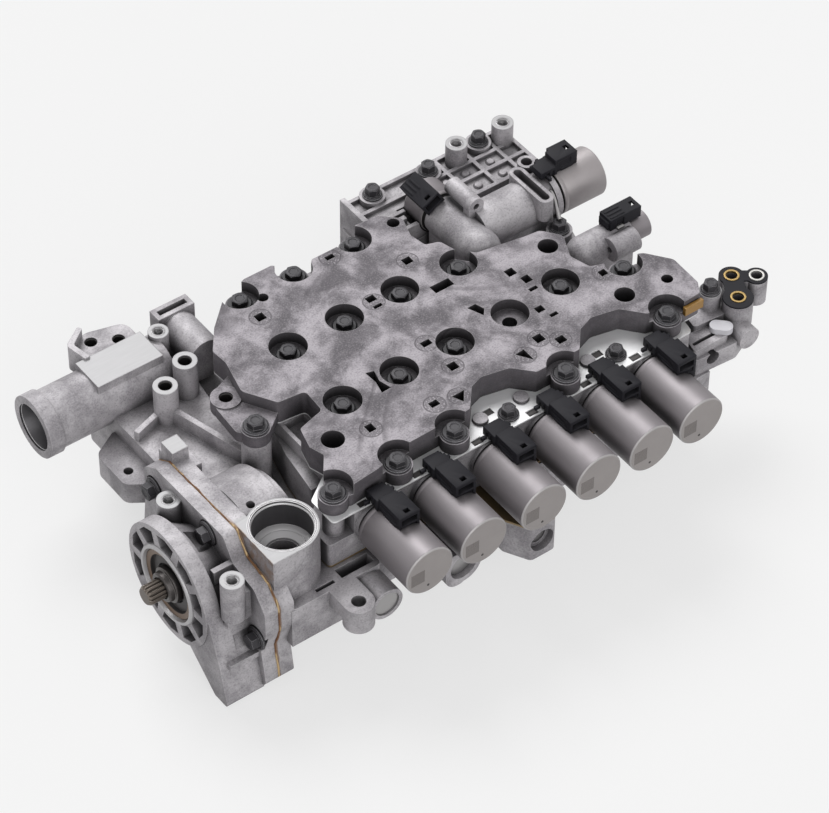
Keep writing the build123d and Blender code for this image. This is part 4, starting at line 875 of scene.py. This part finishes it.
def bolt_tree():
    tree, entry = growing_tree("flange_bolts", BOLT_MEASURES)

    def drum(radius, depth, bottom, sides=64, top_radius=None):
        sizes = {"Vertices": sides, "Radius Bottom": radius, "Radius Top": top_radius or radius, "Depth": depth}
        shape = new_node(tree, "GeometryNodeMeshCone", sizes).outputs["Mesh"]
        lift = new_node(tree, "ShaderNodeCombineXYZ", {"Z": bottom}).outputs[0]
        return new_node(tree, "GeometryNodeTransform", {"Geometry": shape, "Translation": lift}).outputs[0]

    def combine(operation, first, *others):
        node = new_node(tree, "GeometryNodeMeshBoolean", operation=operation, solver="EXACT")
        tree.links.new(first, node.inputs[0 if operation == "DIFFERENCE" else 1])
        for other in others:
            tree.links.new(other, node.inputs[1])
        return node.outputs["Mesh"]

    across, flange_radius, flange_height, head, shank_radius, shank_length = (entry[m] for m in BOLT_MEASURES)
    hexagon = drum(times(tree, across, CORNER_SHARE), minus(tree, head, 0.5), 0.5, sides=6)
    cone_top = times(tree, across, 0.47)
    cone = drum(plus(tree, cone_top, times(tree, head, 1.73)), head, 0.0, top_radius=cone_top)
    dish_top = times(tree, across, 0.4)
    dish = drum(times(tree, across, 0.26), 1.0, minus(tree, head, 0.45), top_radius=dish_top)
    crowned = combine("DIFFERENCE", combine("INTERSECT", hexagon, cone), dish)
    rim = drum(flange_radius, times(tree, flange_height, 0.55), 0.0)
    slope_top, half_height = minus(tree, flange_radius, 1.1), times(tree, flange_height, 0.5)
    slope = drum(minus(tree, flange_radius, 0.35), half_height, half_height, top_radius=slope_top)
    shank = drum(shank_radius, plus(tree, shank_length, 0.3), times(tree, shank_length, -1.0), sides=32)
    bolt = combine("UNION", crowned, rim, slope, shank)
    chance = new_node(tree, "FunctionNodeRandomValue", {3: SIXTH_TURN, "Seed": entry["Seed"]}, data_type="FLOAT")
    spin = new_node(tree, "ShaderNodeCombineXYZ", {"Z": chance.outputs[1]}).outputs[0]
    turns = {0: euler_turn(tree, entry["Axis Turn"]), 1: euler_turn(tree, spin)}
    whole_turn = new_node(tree, "FunctionNodeRotateRotation", turns, rotation_space="LOCAL")
    return stand_on_places(tree, entry, bolt, whole_turn.outputs[0])


BOLT_TREE = bolt_tree()
COVER_BOLTS = [
    (-112.2, -71.8), (-117.4, -2), (-68.5, -74.5), (-27.5, -74.5), (54.5, -74.5), (133.2, -72.5),
    (136.5, -26.5), (56, 32.5), (-67, 87), (-27.5, 87), (16.5, 87), (95.5, -17),
]
COVER_BOLTS += [(x, y) for x in (-68.5, -27.5, 13.5) for y in (-20.5, 34.5)]
PUMP_BOLTS = [(16.3, 78.6), (-39.4, 89.5), (-87, 42.3), (-26, 18), (22, 30)]
HOUSING_BOLTS = [(60.5, 127, 100), (101.5, 124, 100), (144, 128, 100), (138, 37, 96), (179, -59.5, 95.5)]
PUMP_BOLT_SEAT = -177.1
UPRIGHT, TO_THE_LEFT = (0.0, 0.0, 0.0), (0.0, -0.5 * pi, 0.0)
# Places, width across flats, flange radius, head height, shank length, turn of the axis
BOLT_ROWS = {
    "cover_bolts": ([(x, y, 108.9) for x, y in COVER_BOLTS], 9.4, 8.0, 5.8, 59.9, UPRIGHT),
    "plate_bolts": ([(12.6, -74, 100), (94.6, -72.5, 100)], 8.0, 6.5, 6.2, 16.0, UPRIGHT),
    "housing_bolts": (HOUSING_BOLTS, 8.2, 6.4, 6.8, 16.0, UPRIGHT),
    "pump_bolts": ([(PUMP_BOLT_SEAT, y, z) for y, z in PUMP_BOLTS], 9.4, 7.8, 7.0, 18.0, TO_THE_LEFT),
}
for seed, (row, (places, across, flange, head, shank, turn)) in enumerate(BOLT_ROWS.items(), start=3):
    measures = dict(zip(BOLT_MEASURES, (across, flange, FLANGE_HEIGHT, head, SHANK_RADIUS, shank)))
    measures.update({"Axis Turn": turn, "Seed": seed, "Finish": bolt_dark})
    bolts = grow_on_points(row, BOLT_TREE, places, measures)
    dress_piece(row + "_turned", bolts, [bolt_dark], (row,))
    print(row, len(places))

# %% [markdown]
# Behind each spool a coil spring of round wire pushes it back. Geometry Nodes draw it: a spiral curve
# and a small circle swept along it. A spring has one end on the casting and one on the spool, and it
# rides on the housing.

# %% Springs
COIL_RADIUS, WIRE_RADIUS, COIL_TURNS = 4.4, 0.65, 4.0


def spring_tree():
    tree, entry = growing_tree("coil_spring", ["Coil Radius", "Wire Radius", "Length", "Turns"])
    radius = entry["Coil Radius"]
    helix = new_node(tree, "GeometryNodeCurveSpiral", {
        "Resolution": 24, "Rotations": entry["Turns"], "Start Radius": radius, "End Radius": radius,
        "Height": entry["Length"],
    })
    wire = new_node(tree, "GeometryNodeCurvePrimitiveCircle", {"Resolution": 10, "Radius": entry["Wire Radius"]})
    sweep = new_node(tree, "GeometryNodeCurveToMesh", {
        "Fill Caps": True, "Curve": helix.outputs[0], "Profile Curve": wire.outputs[0],
    })
    return stand_on_places(tree, entry, sweep.outputs[0], euler_turn(tree, entry["Axis Turn"]))


SPRING_TREE = spring_tree()
SPRINGS = {f"spring_{n}": (f"spool_slide_{n}", "Y") for n in range(1, len(FRONT_CANS) + 1)}
SPRINGS["rear_spring"] = ("rear_spool_slide", "X")
for node, (joint, along) in SPRINGS.items():
    low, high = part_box(node)
    middle = (low + high) / 2
    if along == "Y":
        axis, turn, length = (0.0, 1.0, 0.0), (-0.5 * pi, 0.0, 0.0), high.y - low.y
        place = (middle.x / MM, low.y / MM + WIRE_RADIUS, middle.z / MM)
    else:
        axis, turn, length = (1.0, 0.0, 0.0), TO_THE_LEFT, high.x - low.x
        place = (high.x / MM - WIRE_RADIUS, middle.y / MM, middle.z / MM)
    measures = {"Coil Radius": COIL_RADIUS, "Wire Radius": WIRE_RADIUS, "Length": length / MM - 2 * WIRE_RADIUS,
                "Turns": COIL_TURNS, "Axis Turn": turn, "Finish": bare_steel}
    mesh = grow_on_points(node, SPRING_TREE, [place], measures)
    coil = dress_piece(node + "_coil", mesh, [bare_steel], (node,))
    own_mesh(coil)
print("springs:", len(SPRINGS))

# %% [markdown]
# The inlet port has a bright chamfer at its mouth, a wall painted dark as shade, and a bright funnel where the
# bore narrows. Thin turned liners on the frame's own surfaces show these bands, and dark discs deep in the port
# and the tube are painted shade. The threaded bosses get the same treatment, with the crests of a thread as a
# zigzag outline.

# %% Bore liners and threads
TUBE_AXIS = (101, 77)
CHAMFER = [
    (99.65, 20.3, 3), (99.65, 19.7, 3), (97.4, 17.9, 1), (97.4, 18.74, 1), (99.52, 18.74, 0), (99.52, 20.3, 0),
]
FUNNEL = [
    (97.4, 18.2, 1), (80.9, 18.2, 0), (79.8, 14.6, 0), (77.6, 10.4, 0), (76.55, 10.2, 0), (76.55, 14.4, 0),
    (79.56, 14.4, 0), (79.56, 18.74, 0), (97.4, 18.74, 1),
]
TUBE_LIP = [(-207.0, 15.45, 0), (-206.9, 15.9, 0), (-205.4, 15.2, 1), (-136.0, 14.9, 1), (-136.0, 15.48, 1)]
port_finishes = [machined, bore_shade, dark_gap_and_shade, polished]
# The discs close the bores deep down, as painted shade.
port_shade_disc, tube_shade_disc = (69.0, 70.0, 9.5, 2), (-134.5, -133.5, 15.45, 1)
turned_piece("port_liner", put(*INLET, 0), port_finishes, [CHAMFER, FUNNEL], port_shade_disc)
turned_piece("tube_liner", put(0, *TUBE_AXIS, 90, "Y"), [machined, bore_shade], [TUBE_LIP], tube_shade_disc)

THREAD_PITCH = 1.25
THREAD_TURNS = 7
bm = bmesh.new()
for x, y, top, _, hole in THREADED_BOSSES:
    outer, bottom = hole - 0.02, top - 10.0
    section = [(top + 0.08, outer + 1.1, 0), (top + 0.08, outer + 0.3, 0), (top - 0.7, outer - 0.35, 1)]
    for crest in range(THREAD_TURNS):
        level = top - 0.9 - crest * THREAD_PITCH
        section += [(level, outer - 0.45, 1), (level - 0.5 * THREAD_PITCH, outer - 0.06, 1)]
    section += [(bottom, outer - 0.45, 1), (bottom, outer, 1)]
    section += [(top - 0.02, outer, 0), (top + 0.02, outer + 1.1, 0)]
    turned_ring(bm, section, put(x, y, 0), 40)
dress_piece("threaded_inserts", bm, [machined, machined])
print("threaded bosses:", len(THREADED_BOSSES))

# %% [markdown]
# Plain holes in the bosses and the slots of the steel plate lie in deep shade. Thin dark linings stand in them as
# painted shade. Between the ribs of the rear body lies a web with low knobs in its fields.

# %% Painted shade in holes, and the rear web
SLOT_SHADE_BOTTOM, SLOT_SHADE_TOP = 98.9, 99.2
bm = bmesh.new()
# Painted shade: dark linings in plain holes and dark blocks on the floors of the plate slots.
for x, y, top, _, hole in PLAIN_BOSSES + LUG_BORES:
    wall, throat = hole - 0.03, hole - 0.53
    lathe(bm, [(top - 9, 0, 0), (top - 9, throat, 0), (top - 1.5, throat, 0), (top - 0.9, wall, 0),
               (top - 10, wall, 0), (top - 10, 0, 0)], put(x, y, 0), 40)
for x in FRONT_CANS:
    add_block(bm, (x - 11.95, -81.9, SLOT_SHADE_BOTTOM), (x - 5.05, -78.55, SLOT_SHADE_TOP), TO_METRES)
for x in (86.0, 4.0):
    add_block(bm, (x - 2.95, -67.95, SLOT_SHADE_BOTTOM), (x + 2.95, -63.05, SLOT_SHADE_TOP), TO_METRES)
dress_piece("painted_shade_holes", bm, [dark_gap_and_shade])

WEB_TOP = 95.2
WEB_THICKNESS = 3
WEB_FIELDS = [((102.6, 91), (164, 132.6)), ((47, 111), (102.6, 132.6)), ((47, 92), (67, 111))]
KNOBS = [(122, 99), (141.5, 99), (158, 99), (122, 112), (141.5, 112), (107, 112), (80, 119), (94, 119)]
knob = [(WEB_TOP + rise, radius, 0) for rise, radius in ((-1, 0), (-1, 3.4), (0.5, 3.0), (1.6, 2.2), (1.9, 0))]
bm = bmesh.new()
for low, high in WEB_FIELDS:
    add_block(bm, (*low, WEB_TOP - WEB_THICKNESS), (*high, WEB_TOP), TO_METRES)
for x, y in KNOBS:
    lathe(bm, knob, put(x, y, 0), 32)
dress_piece("rear_web", bm, [light_cast])
print("plain bores:", len(PLAIN_BOSSES + LUG_BORES), "web fields:", len(WEB_FIELDS))

# %% [markdown]
# In the round mouth of the pump a bright lip stands round a brown bearing ring and a dark gap, whose black is
# painted shade, and a collar on the shaft carries the splined tip. The collar turns with the shaft, so it rides
# on it.

# %% Pump mouth
SHAFT_AXIS = (-34, 57)
MOUTH_RINGS = [
    [(-204.4, 25.6, 0), (-204.4, 23.9, 0), (-202.1, 23.2, 1), (-202.1, 25.2, 0), (-203.2, 26.4, 0)],
    [(-202.15, 23.2, 1), (-202.6, 22.4, 1), (-202.15, 19.2, 2), (-199.6, 18.6, 2), (-199.6, 23.2, 1)],
    [(-200.0, 18.6, 2), (-200.6, 13.0, 2), (-199.6, 12.4, 2), (-197.1, 15.3, 2), (-197.1, 18.6, 2)],
]
COLLAR = [
    (-199.9, 7.05, 0), (-199.9, 11.6, 0), (-201.4, 12.0, 0), (-203.6, 11.4, 0), (-204.0, 9.9, 0),
    (-206.8, 9.4, 0), (-207.6, 8.6, 0), (-207.6, 7.05, 0),
]
shaft_line = put(0, *SHAFT_AXIS, 90, "Y")
# The dark gap between the bearing ring and the shaft is painted shade.
turned_piece("pump_mouth", shaft_line, [machined, brown_steel, dark_gap_and_shade], MOUTH_RINGS)
shaft_collar = turned_piece("shaft_collar", shaft_line, [oiled_hub], [COLLAR])
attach(shaft_collar, "shaft")
nodes["drive_shaft"].data.materials[0] = shaft_steel
print("pump mouth and collar made")

# %% [markdown]
# Sealant has squeezed out along the pump gasket as a thin wavy bead, brown in places and golden in
# others. A curve with a round section follows the joint, and a fixed seed moves its points a little so
# that it is never quite straight. The same function draws the bent pipe further on.

# %% Gasket bead
random.seed(11)
BEAD_X = -167.5
BEAD_STEP = 3.5
JOINT_LINE = [
    (14, 97.0), (4, 97.6), (-18, 98.3), (-40, 99.0), (-55, 99.7), (-59, 93.5), (-64, 86.0), (-74, 83.5),
    (-86, 80.6), (-93, 74), (-95.7, 66), (-95.9, 52), (-93.5, 42), (-90.4, 33), (-92, 20), (-93.8, 8),
]


def round_line(name, radius, roundness, places, smoothness=12):
    """A smooth curve with a round section, through (x, y, z, share of the radius)."""
    curve = bpy.data.curves.new(name, "CURVE")
    set_all(curve, dimensions="3D", bevel_depth=radius * MM, bevel_resolution=roundness, use_fill_caps=True)
    spline = curve.splines.new("NURBS")
    spline.points.add(len(places) - 1)
    for point, (x, y, z, share) in zip(spline.points, places):
        set_all(point, co=(x * MM, y * MM, z * MM, 1.0), radius=share)
    set_all(spline, order_u=3, use_endpoint_u=True, resolution_u=smoothness)
    return evaluated_mesh(new_object(name, curve))


def sealant_finish():
    material, tree, shader, where = start_finish("squeezed_sealant", 0.0, 0.55, (0.3, 0.17, 0.07))
    grain = place_group(tree, CAST_GRAIN, Vector=where, Patch_Scale=60.0, Grain_Scale=1500.0)
    golden = map_range(tree, grain["Patches"], 0.46, 0.56)
    fill(tree, shader, {
        "Base Color": blend(tree, golden, (0.17, 0.075, 0.03), (0.6, 0.43, 0.22)),
        "Roughness": mix_value(tree, golden, 0.6, 0.4),
        "Normal": bump(tree, times(tree, grain["Height"], 0.0002)),
    })
    return material


points = []
for (y0, z0), (y1, z1) in zip(JOINT_LINE, JOINT_LINE[1:]):
    steps = max(2, round(hypot(y1 - y0, z1 - z0) / BEAD_STEP))
    points += [(y0 + (y1 - y0) * i / steps, z0 + (z1 - z0) * i / steps) for i in range(steps)]
points.append(JOINT_LINE[-1])
bead = [(BEAD_X + random.uniform(-0.35, 0.35), y, z, random.uniform(0.55, 1.35)) for y, z in points]
dress_piece("gasket_bead", round_line("gasket_bead", 0.55, 2, bead), [sealant_finish()])
print("gasket bead points:", len(points))

# %% [markdown]
# At the rear a thin rigid steel pipe bends down from the loop on the big housing to a bolted collar.

# %% Bent pipe
PIPE_RADIUS = 1.3
PIPE_ROUTE = [
    (145.6, 60.5, 108.0), (145.2, 57.0, 112.0), (143.6, 50.0, 109.5), (141.0, 44.0, 106.0),
    (139.2, 39.5, 104.4), (138.4, 37.4, 103.6),
]
pipe = round_line("bent_pipe", PIPE_RADIUS, 4, [(*place, 1.0) for place in PIPE_ROUTE], smoothness=10)
dress_piece("bent_pipe", pipe, [bare_steel])
print("pipe points:", len(PIPE_ROUTE))
